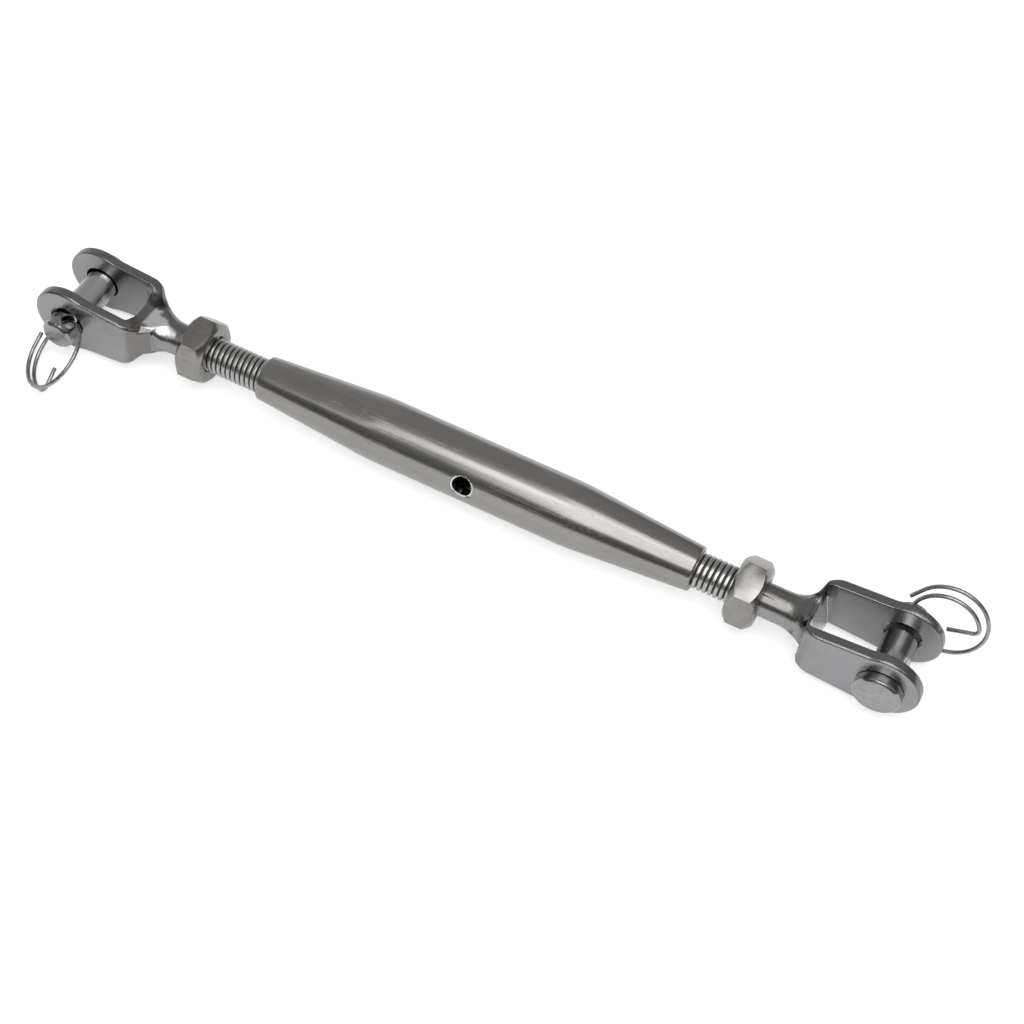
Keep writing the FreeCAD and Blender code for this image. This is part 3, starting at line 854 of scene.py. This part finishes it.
@dataclass
class StudThread:
    """Rolled M10 thread of one stud, from the shank to the bevelled tip.

    A tooth's corners are given as shares of the pitch and of the depth.
    """

    side: Side
    start: float
    end: float
    pitch: float = 1.5
    crest_radius: float = 4.925
    root_radius: float = 4.25
    shank_radius: float = 4.6
    run_out: float = 2.4
    tip_bevel: float = 1.1
    tip_radius: float = 3.9
    core_radius: float = 1.0
    lead_in: float = 1.5
    spare_turns: int = 3
    steps: int = 40
    tooth: Stops = (
        (0.00, 0.00),
        (0.05, 0.02),
        (0.09, 0.20),
        (0.18, 0.86),
        (0.23, 0.97),
        (0.31, 1.00),
        (0.69, 1.00),
        (0.77, 0.97),
        (0.82, 0.86),
        (0.91, 0.20),
        (0.95, 0.02),
        (1.00, 0.00),
    )

    def coil(self) -> bpy.types.Object:
        """Winds one tooth's outline along X, past both ends of the stud.

        Returns:
            The open coil.
        """
        first_x = min(self.start, self.end) - self.lead_in * self.pitch
        depth = self.crest_radius - self.root_radius
        corners = [
            (first_x + along * self.pitch, self.root_radius + height * depth)
            for along, height in self.tooth
        ]
        turns = math.ceil(abs(self.end - self.start) / self.pitch) + self.spare_turns
        winding = {
            "angle": -self.side.hand * 2 * math.pi,
            "screw_offset": self.pitch * MM,
            "iterations": turns,
            "steps": self.steps,
            "render_steps": self.steps,
            "use_merge_vertices": False,
        }
        return turn_profile(corners, winding)

    def allowed(self, x: float) -> Span:
        """Least and greatest radius where the thread runs out and at its tip.

        Args:
            x: Place along the stud.

        Returns:
            The two radii.
        """
        from_shank = abs(x - self.start)
        from_tip = abs(self.end - x)
        fill = max(0.0, 1 - from_shank / self.run_out)
        least = self.root_radius + fill * (self.shank_radius - self.root_radius)
        bevel = from_tip / self.tip_bevel * (self.crest_radius - self.tip_radius)
        return least, min(self.crest_radius, self.tip_radius + bevel)

    def make(self) -> bpy.types.Object:
        """Makes the whole thread.

        Returns:
            Its closed solid.
        """
        thread = self.coil()
        low, high = sorted((self.start, self.end))
        saw_off(thread, low, -1)
        saw_off(thread, high, 1)
        face_outwards(thread)
        for vertex in thread.data.vertices:
            radius = math.hypot(vertex.co.y, vertex.co.z) / MM
            if radius > self.core_radius:
                least, greatest = self.allowed(vertex.co.x / MM)
                wanted = min(max(radius, least), greatest)
                vertex.co.y *= wanted / radius
                vertex.co.z *= wanted / radius
        return thread


@dataclass
class SplitRing:
    """Ring of wire coiled a little over once, its end bent inwards as a leg.

    The angles are in degrees. The coil's own axis is Z before it is placed, and its
    hole_angle is how far round from the free end it passes through the pin.
    """

    hole: Point
    lean: float
    reach: float
    swing: float
    roll: float
    turns: float
    shrink: float
    leg_reach: float
    radius: float = 10.1
    wire: float = 1.15
    pitch: float = 2.1
    hole_angle: float = 295.0
    free_length: float = 4.5
    bend_radius: float = 1.7
    bend_drop: float = 2.4
    leg_rise: float = 1.2
    end_bevel: float = 0.12
    sharp_edge: float = 50.0
    steps_a_turn: int = 60
    bend_steps: int = 8
    wire_rounding: int = 6
    free_points: tuple[float, ...] = (1.0, 0.66, 0.33)
    leg_points: tuple[float, ...] = (0.45, 0.7, 1.0)

    def placing(self) -> Matrix:
        """Turn and place of the coil."""
        lift = -self.pitch * self.hole_angle / 360
        return (
            Matrix.Translation(self.hole)
            @ Matrix.Rotation(math.radians(self.lean), 4, "Y")
            @ Matrix.Rotation(math.radians(self.swing), 4, "Z")
            @ Matrix.Rotation(math.radians(self.roll), 4, "X")
            @ Matrix.Translation((self.reach, 0, lift))
            @ Matrix.Rotation(math.radians(180 + self.hole_angle), 4, "Z")
        )

    def coil_radius(self, turn: float) -> float:
        """Radius so many turns from the free end: full to the hole, then closing in."""
        past = max(0.0, turn - self.hole_angle / 360) / (self.turns - self.hole_angle / 360)
        return self.radius - self.shrink * math.sin(past * math.pi / 2)

    def leg(self) -> list[Vector]:
        """Follows the wire round its bend and along the leg.

        Returns:
            Points along its middle, before the leg is turned to the coil's end.
        """
        radius = self.coil_radius(self.turns)
        corner = Vector((radius, -self.bend_drop, 0))
        inward = Vector((radius - self.leg_reach, self.leg_rise - self.bend_drop, 0)) - corner
        way_out, way_in = Vector((0, 1, 0)), inward.normalized()
        half_turn = way_out.angle(way_in) / 2
        start = corner + way_out * (self.bend_radius / math.tan(half_turn))
        middle = corner + (way_out + way_in).normalized() * (
            self.bend_radius / math.sin(half_turn)
        )
        step_angle = (math.pi - 2 * half_turn) / self.bend_steps
        bend = [
            middle + Matrix.Rotation(-step_angle * step, 3, "Z") @ (start - middle)
            for step in range(self.bend_steps + 1)
        ]
        return bend + [corner + inward * share for share in self.leg_points]

    def path(self) -> list[Vector]:
        """Follows the wire from its free end to the leg's end.

        Returns:
            Points along its middle, about the coil's axis.
        """
        line = [Vector((self.radius, self.free_length * share, 0)) for share in self.free_points]
        count = round(self.turns * self.steps_a_turn)
        for step in range(count + 1):
            turn = self.turns * step / count
            angle = -turn * 2 * math.pi
            radius = self.coil_radius(turn)
            line.append(
                Vector((radius * math.cos(angle), radius * math.sin(angle), self.pitch * turn))
            )
        turned = Matrix.Rotation(-self.turns * 2 * math.pi, 4, "Z")
        rise = Vector((0, 0, self.pitch * self.turns))
        return line + [turned @ point + rise for point in self.leg()]

    def make(self, name: str) -> bpy.types.Object:
        """Sweeps the wire along its path and rounds off its two closed ends.

        Args:
            name: The ring's name.

        Returns:
            The ring.
        """
        place = self.placing()
        ring = draw_line([place @ point for point in self.path()])
        ring.name = name
        pick_only(ring)
        bpy.ops.object.convert(target="CURVE")
        ring = bpy.context.active_object
        ring.data.bevel_depth = self.wire / 2 * MM
        ring.data.bevel_resolution = self.wire_rounding
        ring.data.use_fill_caps = True
        bpy.ops.object.convert(target="MESH")
        ring = bpy.context.active_object
        merge_points(ring, SAME_POINT)
        face_outwards(ring)
        soften_edges(ring, self.end_bevel, self.sharp_edge)
        return ring


@dataclass
class JawEnd:
    """Forged clevis jaw with its threaded stud, lock nut, clevis pin and split ring.

    cheek_fall is the share of its height that the forging keeps at each reach. The rows of
    cuts and the facets are placed from the end of the cheeks, towards the tube. The
    corner's span is in radii of the slot's inner corner, where 1 is its round.
    """

    side: Side
    pin_x: float
    cheek_length: float
    shank_end: float
    stud_tip: float
    slot_depth: float
    root_lean: float
    cheek_fall: Stops
    ring: SplitRing
    finishes: dict[str, bpy.types.Material]
    slot_half_width: float = 7.0
    slot_corner: float = 3.0
    corner_span: Span = (0.9, 2.2)
    corner_power: int = 6
    wall_margin: float = 0.6
    lean_top: float = 5.0
    lean_height: float = 12.8
    lean_fade: Stops = ((0.0, 1.0), (5.0, 0.0))
    cheek_half_height: float = 7.8
    neck_half_height: float = 6.1
    step_length: float = 1.0
    neck_slope_end: float = 28.8
    valley_height: float = 5.1
    valley_half_width: float = 7.2
    valley_floor_half_width: float = 1.5
    cut_spacing: float = 0.75
    stretch_start: float = -7.0
    stretch_end: float = 40.0
    first_row: float = -6.0
    rows: int = 20
    first_column: float = -7.5
    columns: int = 21
    level_cuts: tuple[float, ...] = (-5.6, -4.2, -2.7, 0.7, 2.9, 4.2, 5.5)
    facet_way: Spot = (0.53, 0.848)
    facet_stops: Stops = ((-1.0, 10.4), (1.0, 7.5), (6.7, 4.85), (10.0, 4.75))
    facet_clearance: float = 1.0
    thread_overlap: float = 0.1

    def node(self, piece: str) -> str:
        """Name of this end's node for a piece."""
        return f"{self.side.label}_{piece}"

    def reach_at(self, x: float) -> float:
        """Reach of a place along X."""
        return (self.pin_x - x) * self.side.outward

    def x_at(self, reach: float) -> float:
        """Place along X at a reach."""
        return self.pin_x - reach * self.side.outward

    def top_at(self, reach: float) -> float:
        """Half height of the forging, from the ears to the shank.

        Args:
            reach: Where it is asked for.

        Returns:
            The half height there.
        """
        step_end = self.cheek_length + self.step_length
        profile = (
            (self.cheek_length, self.cheek_half_height),
            (step_end, self.neck_half_height),
            (self.neck_slope_end, self.valley_height),
        )
        return between(reach, profile)

    def sink_crotch(self, jaw: bpy.types.Object) -> None:
        """Lets the neck run into the slot as a valley, and the ears' edges fall towards it.

        Args:
            jaw: The forging, in its place.
        """
        stretch = (self.x_at(self.cheek_length + self.stretch_start), self.x_at(self.stretch_end))
        first_reach = self.cheek_length + self.first_row
        rows = [self.x_at(first_reach + self.cut_spacing * row) for row in range(self.rows)]
        columns = [self.first_column + self.cut_spacing * row for row in range(self.columns)]
        cut_across(jaw, 0, rows, stretch)
        cut_across(jaw, 1, columns, stretch)
        cut_across(jaw, 2, list(self.level_cuts), stretch)
        merge_points(jaw, POINTS_MEET)
        edges = ((self.valley_floor_half_width, 1.0), (self.valley_half_width, 0.0))
        for vertex in jaw.data.vertices:
            reach = self.reach_at(vertex.co.x / MM)
            fall = between(reach, self.cheek_fall)
            share = between(abs(vertex.co.y) / MM, edges)
            share = share * share * (3.0 - 2.0 * share)
            top = self.top_at(reach) * fall
            vertex.co.z *= fall * (1.0 - share * (1.0 - min(1.0, self.valley_height / top)))

    def grind_neck(self, jaw: bpy.types.Object) -> None:
        """Takes the neck's four corners off as facets that run down to the shank.

        Args:
            jaw: The forging, in its place.
        """
        across, up = self.facet_way
        for vertex in jaw.data.vertices:
            past_cheeks = self.reach_at(vertex.co.x / MM) - self.cheek_length
            if past_cheeks > self.facet_stops[0][0]:
                y, z = vertex.co.y / MM, vertex.co.z / MM
                allowed = between(past_cheeks, self.facet_stops)
                over = across * abs(y) + up * abs(z) - allowed
                if over > 0.0 and abs(y) > self.facet_clearance:
                    vertex.co.y -= math.copysign(across * over * MM, y)
                    vertex.co.z -= math.copysign(up * over * MM, z)

    def corner_growth(self, side: float, deep: float) -> float:
        """Squares the slot's round inner corner.

        Args:
            side: Distance from the round's centre across the slot, in corner radii.
            deep: The same along the slot.

        Returns:
            Factor for both distances, which is 1 away from the corner.
        """
        near, far = self.corner_span
        out = math.hypot(side, deep)
        if side <= 0.0 or deep <= 0.0 or not near < out < far:
            return 1.0
        power = self.corner_power
        square = 1.0 / ((side / out) ** power + (deep / out) ** power) ** (1 / power)
        fade = min(1.0, (far - out) / (far - 1.0))
        return 1.0 + (square - 1.0) * fade / out

    def square_slot(self, jaw: bpy.types.Object) -> None:
        """Draws the slot's two inner corners out tighter and leans its end wall.

        Args:
            jaw: The forging, in its place.
        """
        across = self.slot_half_width - self.slot_corner
        along = self.slot_depth - self.slot_corner
        for vertex in jaw.data.vertices:
            reach = self.reach_at(vertex.co.x / MM)
            y = vertex.co.y / MM
            side = max(0.0, (abs(y) - across) / self.slot_corner)
            deep = max(0.0, (reach - along) / self.slot_corner)
            growth = self.corner_growth(side, deep)
            if growth != 1.0:
                vertex.co.y = math.copysign((across + side * growth * self.slot_corner) * MM, y)
                reach = along + deep * growth * self.slot_corner
            if abs(y) < self.slot_half_width + self.wall_margin and self.root_lean > 0.0:
                on_wall = min(1.0, deep) * between(reach - self.slot_depth, self.lean_fade)
                below_top = min(vertex.co.z / MM, self.lean_top) - self.lean_top
                reach += on_wall * self.root_lean * below_top / self.lean_height
            if deep > 0.0:
                vertex.co.x = self.x_at(reach) * MM

    def make_jaw(self) -> None:
        """Fork and shank of the forging, with a real thread for a stud."""
        jaw = copy_of(self.node("jaw"), self.node("forged_jaw"))
        saw_off(jaw, self.shank_end, -self.side.outward)
        join_flats(jaw)
        self.sink_crotch(jaw)
        self.grind_neck(jaw)
        self.square_slot(jaw)
        dress(jaw, self.finishes["forging"])
        thread_start = self.shank_end + self.thread_overlap * self.side.outward
        thread = StudThread(self.side, thread_start, self.stud_tip).make()
        dress(thread, self.finishes["thread"])
        shade(jaw, degrees=32)
        shade(thread, degrees=40)
        pick_only(jaw, thread)
        bpy.ops.object.join()
        hand_over(jaw, self.node("jaw"))

    def make_nut(self) -> None:
        """Lock nut with its edges broken."""
        nut = copy_of(self.node("lock_nut"), self.node("hex_nut"))
        soften_edges(nut, width_mm=0.14, degrees=18)
        shade(nut, degrees=25)
        dress(nut, self.finishes["nut"])
        hand_over(nut, self.node("lock_nut"))

    def make_pin(self) -> None:
        """Clevis pin with its rims rounded."""
        pin = copy_of(self.node("clevis_pin"), self.node("turned_pin"))
        soften_edges(pin, width_mm=0.3, degrees=30)
        shade(pin, degrees=30)
        dress(pin, self.finishes["pin"])
        hand_over(pin, self.node("clevis_pin"))

    def make_ring(self) -> None:
        """Split ring."""
        ring = self.ring.make(self.node("wire_ring"))
        shade(ring, degrees=40)
        dress(ring, self.finishes["wire"])
        hand_over(ring, self.node("split_ring"))

    def build(self) -> None:
        """Every piece of this end."""
        self.make_jaw()
        self.make_nut()
        self.make_pin()
        self.make_ring()


@dataclass
class BodyTube:
    """Turned tube that draws the two jaws together."""

    finish: bpy.types.Material
    half_length: float = 64.0
    barrel_radius: float = 8.875
    barrel_half_length: float = 29.0
    end_radius: float = 6.2
    blend_radius: float = 65.0
    end_rounding: float = 0.5
    mouth_bevel: float = 0.4
    bore_radius: float = 5.0
    bore_start: float = 34.0
    cavity_radius: float = 6.5
    cavity_end: float = 30.0
    hole_radius: float = 2.75
    hole_bevel: float = 0.42
    hole_lift: float = BAR_HOLE_LIFT
    rim_closeness: float = 0.01
    rim_depth: float = 0.05
    rows: int = 80
    steps: int = 160
    hole_steps: int = 72
    rounding_angles: tuple[float, ...] = (22.5, 45.0, 67.5, 90.0)

    def radius_at(self, x: float) -> float:
        """Outer radius: barrel, blend and taper.

        Args:
            x: Place along the tube.

        Returns:
            The radius there.
        """
        taper_length = self.half_length - self.barrel_half_length
        slope = (self.barrel_radius - self.end_radius) / taper_length
        reach = self.blend_radius * math.tan(math.atan(slope) / 2)
        x = abs(x)
        start = self.barrel_half_length - reach
        if x <= start:
            return self.barrel_radius
        if x < self.barrel_half_length + reach:
            drop = self.blend_radius - math.sqrt(self.blend_radius**2 - (x - start) ** 2)
            return self.barrel_radius - drop
        return self.barrel_radius - (x - self.barrel_half_length) * slope

    def outline(self) -> list[Spot]:
        """Draws the wall's closed section, round from the left mouth.

        Returns:
            Its corners.
        """
        last = self.half_length - self.end_rounding
        outer = [-last + 2 * last * row / self.rows for row in range(self.rows + 1)]
        turns = [math.radians(angle) for angle in self.rounding_angles]
        rim = self.radius_at(last)
        corner = [
            (
                last + self.end_rounding * math.sin(turn),
                rim - self.end_rounding * (1 - math.cos(turn)),
            )
            for turn in turns
        ]
        mouth = [
            (self.half_length, self.bore_radius + self.mouth_bevel),
            (self.half_length - self.mouth_bevel, self.bore_radius),
            (self.bore_start, self.bore_radius),
            (self.cavity_end, self.cavity_radius),
        ]
        right_end = corner + mouth
        left_end = [(-x, radius) for x, radius in reversed(right_end)]
        wall = left_end + [(x, self.radius_at(x)) for x in outer] + right_end
        return wall + [wall[0]]

    def drill(self, tube: bpy.types.Object) -> None:
        """Cuts the cross hole.

        Args:
            tube: The turned tube.
        """
        bpy.ops.object.select_all(action="DESELECT")
        bpy.ops.mesh.primitive_cylinder_add(
            vertices=self.hole_steps,
            radius=self.hole_radius * MM,
            depth=4 * self.barrel_radius * MM,
            rotation=(math.radians(90 - self.hole_lift), 0, 0),
        )
        drill = bpy.context.active_object
        apply_modifier(
            tube, "BOOLEAN", {"operation": "DIFFERENCE", "solver": "EXACT", "object": drill}
        )
        bpy.data.objects.remove(drill)

    def bevel_rims(self, tube: bpy.types.Object) -> None:
        """Bevels the two outer rims of the cross hole.

        Args:
            tube: The turned tube.
        """
        lift = math.radians(self.hole_lift)
        way = Vector((0, -math.cos(lift), math.sin(lift)))
        mesh = tube.data
        for item in (*mesh.vertices, *mesh.edges, *mesh.polygons):
            item.select = False
        on_rim = []
        for vertex in mesh.vertices:
            place = vertex.co / MM
            from_hole = (place - way * place.dot(way)).length
            from_axis = math.hypot(place.y, place.z)
            near_hole = abs(from_hole - self.hole_radius) < self.rim_closeness
            on_rim.append(near_hole and from_axis > self.barrel_radius - self.rim_depth)
        for edge in mesh.edges:
            edge.select = all(on_rim[corner] for corner in edge.vertices)
        pick_only(tube)
        bpy.ops.object.mode_set(mode="EDIT")
        bpy.ops.mesh.select_mode(type="EDGE")
        bpy.ops.mesh.bevel(offset=self.hole_bevel * MM, segments=2)
        bpy.ops.mesh.select_mode(type="VERT")
        bpy.ops.object.mode_set(mode="OBJECT")

    def build(self) -> None:
        """Tube with its cross hole."""
        turning = {
            "angle": 2 * math.pi,
            "steps": self.steps,
            "render_steps": self.steps,
            "use_merge_vertices": True,
            "merge_threshold": POINTS_MEET * MM,
        }
        tube = turn_profile(self.outline(), turning)
        tube.name = "turned_tube"
        face_outwards(tube)
        self.drill(tube)
        self.bevel_rims(tube)
        shade(tube, degrees=30)
        dress(tube, self.finish)
        hand_over(tube, "body_tube")


# Studio. Lengths here are in metres.


@dataclass
class Lamp:
    """Soft lamp that looks at the middle of the screw, with its angles in degrees."""

    name: str
    azimuth: float
    elevation: float
    distance: float
    width: float
    height: float
    watts: float

    def build(self) -> None:
        """Places the lamp."""
        azimuth, elevation = math.radians(self.azimuth), math.radians(self.elevation)
        level = math.cos(elevation)
        way = Vector(
            (math.cos(azimuth) * level, math.sin(azimuth) * level, math.sin(elevation))
        )
        data = bpy.data.lights.new(self.name, "AREA")
        data.shape = "RECTANGLE"
        data.size = self.width
        data.size_y = self.height
        data.energy = self.watts
        lamp = bpy.data.objects.new(self.name, data)
        lamp.location = way * self.distance
        lamp.rotation_euler = way.to_track_quat("Z", "Y").to_euler()
        bpy.context.scene.collection.objects.link(lamp)


@dataclass
class Studio:
    """White sweep, lamps, surrounding light and the camera.

    The steel sees a grey studio: dark low in front, lighter low behind and to the left,
    even overhead, and bright at and below the horizon.
    """

    floor_half: float = 3.0
    floor_paint: Colour = (0.8, 0.8, 0.8)
    floor_glow: float = 0.55
    floor_glow_in_steel: float = 0.24
    low_tone: float = 0.12
    behind_adds: float = 0.06
    left_behind_adds: float = 0.35
    high_tone: float = 0.36
    horizon_tone: float = 0.9
    other_light: float = 0.5
    behind_step: Span = (-0.2, 0.5)
    left_step: Span = (-0.2, 0.6)
    rise_step: Span = (0.15, 0.85)
    horizon_step: Span = (0.06, -0.02)
    focal_pixels: float = 1870.0
    picture_pixels: float = 1024.0
    sensor_mm: float = 36.0
    camera_place: Point = (0.11968, -0.27410, 0.39237)
    camera_right: Point = (0.89088, 0.44934, 0.06659)
    camera_up: Point = (-0.39930, 0.70476, 0.58641)
    camera_back: Point = (0.21657, -0.54901, 0.80727)
    lamps: tuple[Lamp, ...] = (
        Lamp("key_softbox", -79.0, 60.4, distance=0.906, width=0.65, height=0.8, watts=2.8),
        Lamp("side_softbox", -125.0, 56.3, distance=0.945, width=0.12, height=0.8, watts=0.3),
        Lamp("top_softbox", -11.0, 71.1, distance=1.26, width=0.34, height=1.42, watts=2.1),
    )

    def make_floor(self) -> None:
        """Floor that is white to the camera and in the steel, and keeps a soft shadow."""
        bpy.ops.object.select_all(action="DESELECT")
        bpy.ops.mesh.primitive_plane_add(size=2 * self.floor_half, location=(0, 0, FLOOR_Z))
        floor = bpy.context.active_object
        floor.name = "studio_floor"
        material, bench = new_material("white_sweep")
        rays = bench.add("ShaderNodeLightPath", {}, {})
        camera = Wire(bench, rays.outputs["Is Camera Ray"])
        glossy = Wire(bench, rays.outputs["Is Glossy Ray"])
        through = Wire(bench, rays.outputs["Is Transmission Ray"])
        seen = (camera + through) * self.floor_glow + glossy * self.floor_glow_in_steel
        paint = bench.add("ShaderNodeBsdfDiffuse", {}, {"Color": self.floor_paint})
        glow = bench.add("ShaderNodeEmission", {}, {"Color": (1.0, 1.0, 1.0), "Strength": seen})
        layers = {0: Wire(bench, paint.outputs[0]), 1: Wire(bench, glow.outputs[0])}
        both = bench.add("ShaderNodeAddShader", {}, layers)
        bench.add("ShaderNodeOutputMaterial", {}, {"Surface": Wire(bench, both.outputs[0])})
        floor.data.materials.append(material)

    def light_world(self) -> None:
        """White to the camera, plain light on what is dull and the grey studio in the steel."""
        world = bpy.data.worlds.new("studio_air")
        bpy.context.scene.world = world
        world.use_nodes = True
        bench = Bench(world.node_tree)
        rays = bench.add("ShaderNodeLightPath", {}, {})
        coordinates = bench.add("ShaderNodeTexCoord", {}, {})
        x, y, z = bench.split(Wire(bench, coordinates.outputs["Generated"]))
        behind = y.ramp(*self.behind_step)
        left = (x * -1.0).ramp(*self.left_step)
        low_tone = self.low_tone + behind * (self.behind_adds + left * self.left_behind_adds)
        rise = z.ramp(*self.rise_step)
        ceiling = low_tone * (1 - rise) + rise * self.high_tone
        horizon = z.ramp(*self.horizon_step)
        steel_sees = ceiling * (1 - horizon) + horizon * self.horizon_tone
        camera = Wire(bench, rays.outputs["Is Camera Ray"])
        glossy = Wire(bench, rays.outputs["Is Glossy Ray"])
        others = glossy * steel_sees + (1 - glossy) * self.other_light
        strength = camera + (1 - camera) * others
        background = bench.add(
            "ShaderNodeBackground", {}, {"Color": (1.0, 1.0, 1.0), "Strength": strength}
        )
        bench.add("ShaderNodeOutputWorld", {}, {"Surface": Wire(bench, background.outputs[0])})

    def place_camera(self) -> None:
        """Camera at the photograph's viewing angle."""
        data = bpy.data.cameras.new("camera")
        data.sensor_width = self.sensor_mm
        data.lens = self.focal_pixels / self.picture_pixels * data.sensor_width
        data.clip_start = 0.01
        camera = bpy.data.objects.new("camera", data)
        columns = (self.camera_right, self.camera_up, self.camera_back)
        turn = Matrix(columns).transposed().to_4x4()
        camera.matrix_world = Matrix.Translation(self.camera_place) @ turn
        bpy.context.scene.collection.objects.link(camera)
        bpy.context.scene.camera = camera

    def build(self) -> None:
        """Everything around the screw."""
        self.make_floor()
        self.light_world()
        for lamp in self.lamps:
            lamp.build()
        self.place_camera()
        bpy.context.scene.view_settings.view_transform = "Standard"
        LOG.info("studio: %d lamps", len(self.lamps))


def left_end(finishes: dict[str, bpy.types.Material]) -> JawEnd:
    """The left-hand-threaded end, whose slot is short and square.

    Args:
        finishes: Material of each kind of piece.

    Returns:
        The end, not yet built.
    """
    ring = SplitRing(
        hole=(LEFT_PIN_X, -CROSS_HOLE_Y, PIN_Z),
        lean=32.0,
        reach=8.9,
        swing=-66.5,
        roll=251.5,
        turns=1.24,
        shrink=0.0,
        leg_reach=7.0,
    )
    fall = (
        (14.5, 1.0),
        (16.5, 0.99),
        (18.5, 0.92),
        (20.3, 0.83),
        (21.3, 0.98),
        (24.0, 0.93),
        (28.8, 1.0),
    )
    return JawEnd(
        side=Side.LEFT,
        pin_x=LEFT_PIN_X,
        cheek_length=20.3,
        shank_end=-85.6,
        stud_tip=-17.9,
        slot_depth=17.8,
        root_lean=0.0,
        cheek_fall=fall,
        ring=ring,
        finishes=finishes,
    )


def right_end(finishes: dict[str, bpy.types.Material]) -> JawEnd:
    """The right-hand-threaded end, whose slot is deeper and leans at its end.

    Args:
        finishes: Material of each kind of piece.

    Returns:
        The end, not yet built.
    """
    ring = SplitRing(
        hole=(RIGHT_PIN_X, CROSS_HOLE_Y, PIN_Z),
        lean=-31.0,
        reach=10.2,
        swing=6.0,
        roll=80.5,
        turns=1.335,
        shrink=1.8,
        leg_reach=8.4,
    )
    return JawEnd(
        side=Side.RIGHT,
        pin_x=RIGHT_PIN_X,
        cheek_length=22.7,
        shank_end=82.0,
        stud_tip=14.3,
        slot_depth=21.7,
        root_lean=3.6,
        cheek_fall=((20.0, 1.0), (22.7, 0.97), (23.7, 1.0), (28.8, 1.0)),
        ring=ring,
        finishes=finishes,
    )


def main() -> None:
    """Builds the screw, piece by piece, and the studio around it."""
    logging.basicConfig(level=logging.INFO, format="%(name)s: %(message)s")
    finishes = {
        "forging": SatinForging().make(),
        "thread": RolledThread().make(),
        "nut": SatinNut().make(),
        "pin": TurnedPin().make(),
        "wire": DrawnWire().make(),
    }
    BodyTube(PolishedTube().make()).build()
    left_end(finishes).build()
    right_end(finishes).build()
    Studio().build()


if __name__ == "__main__":
    main()
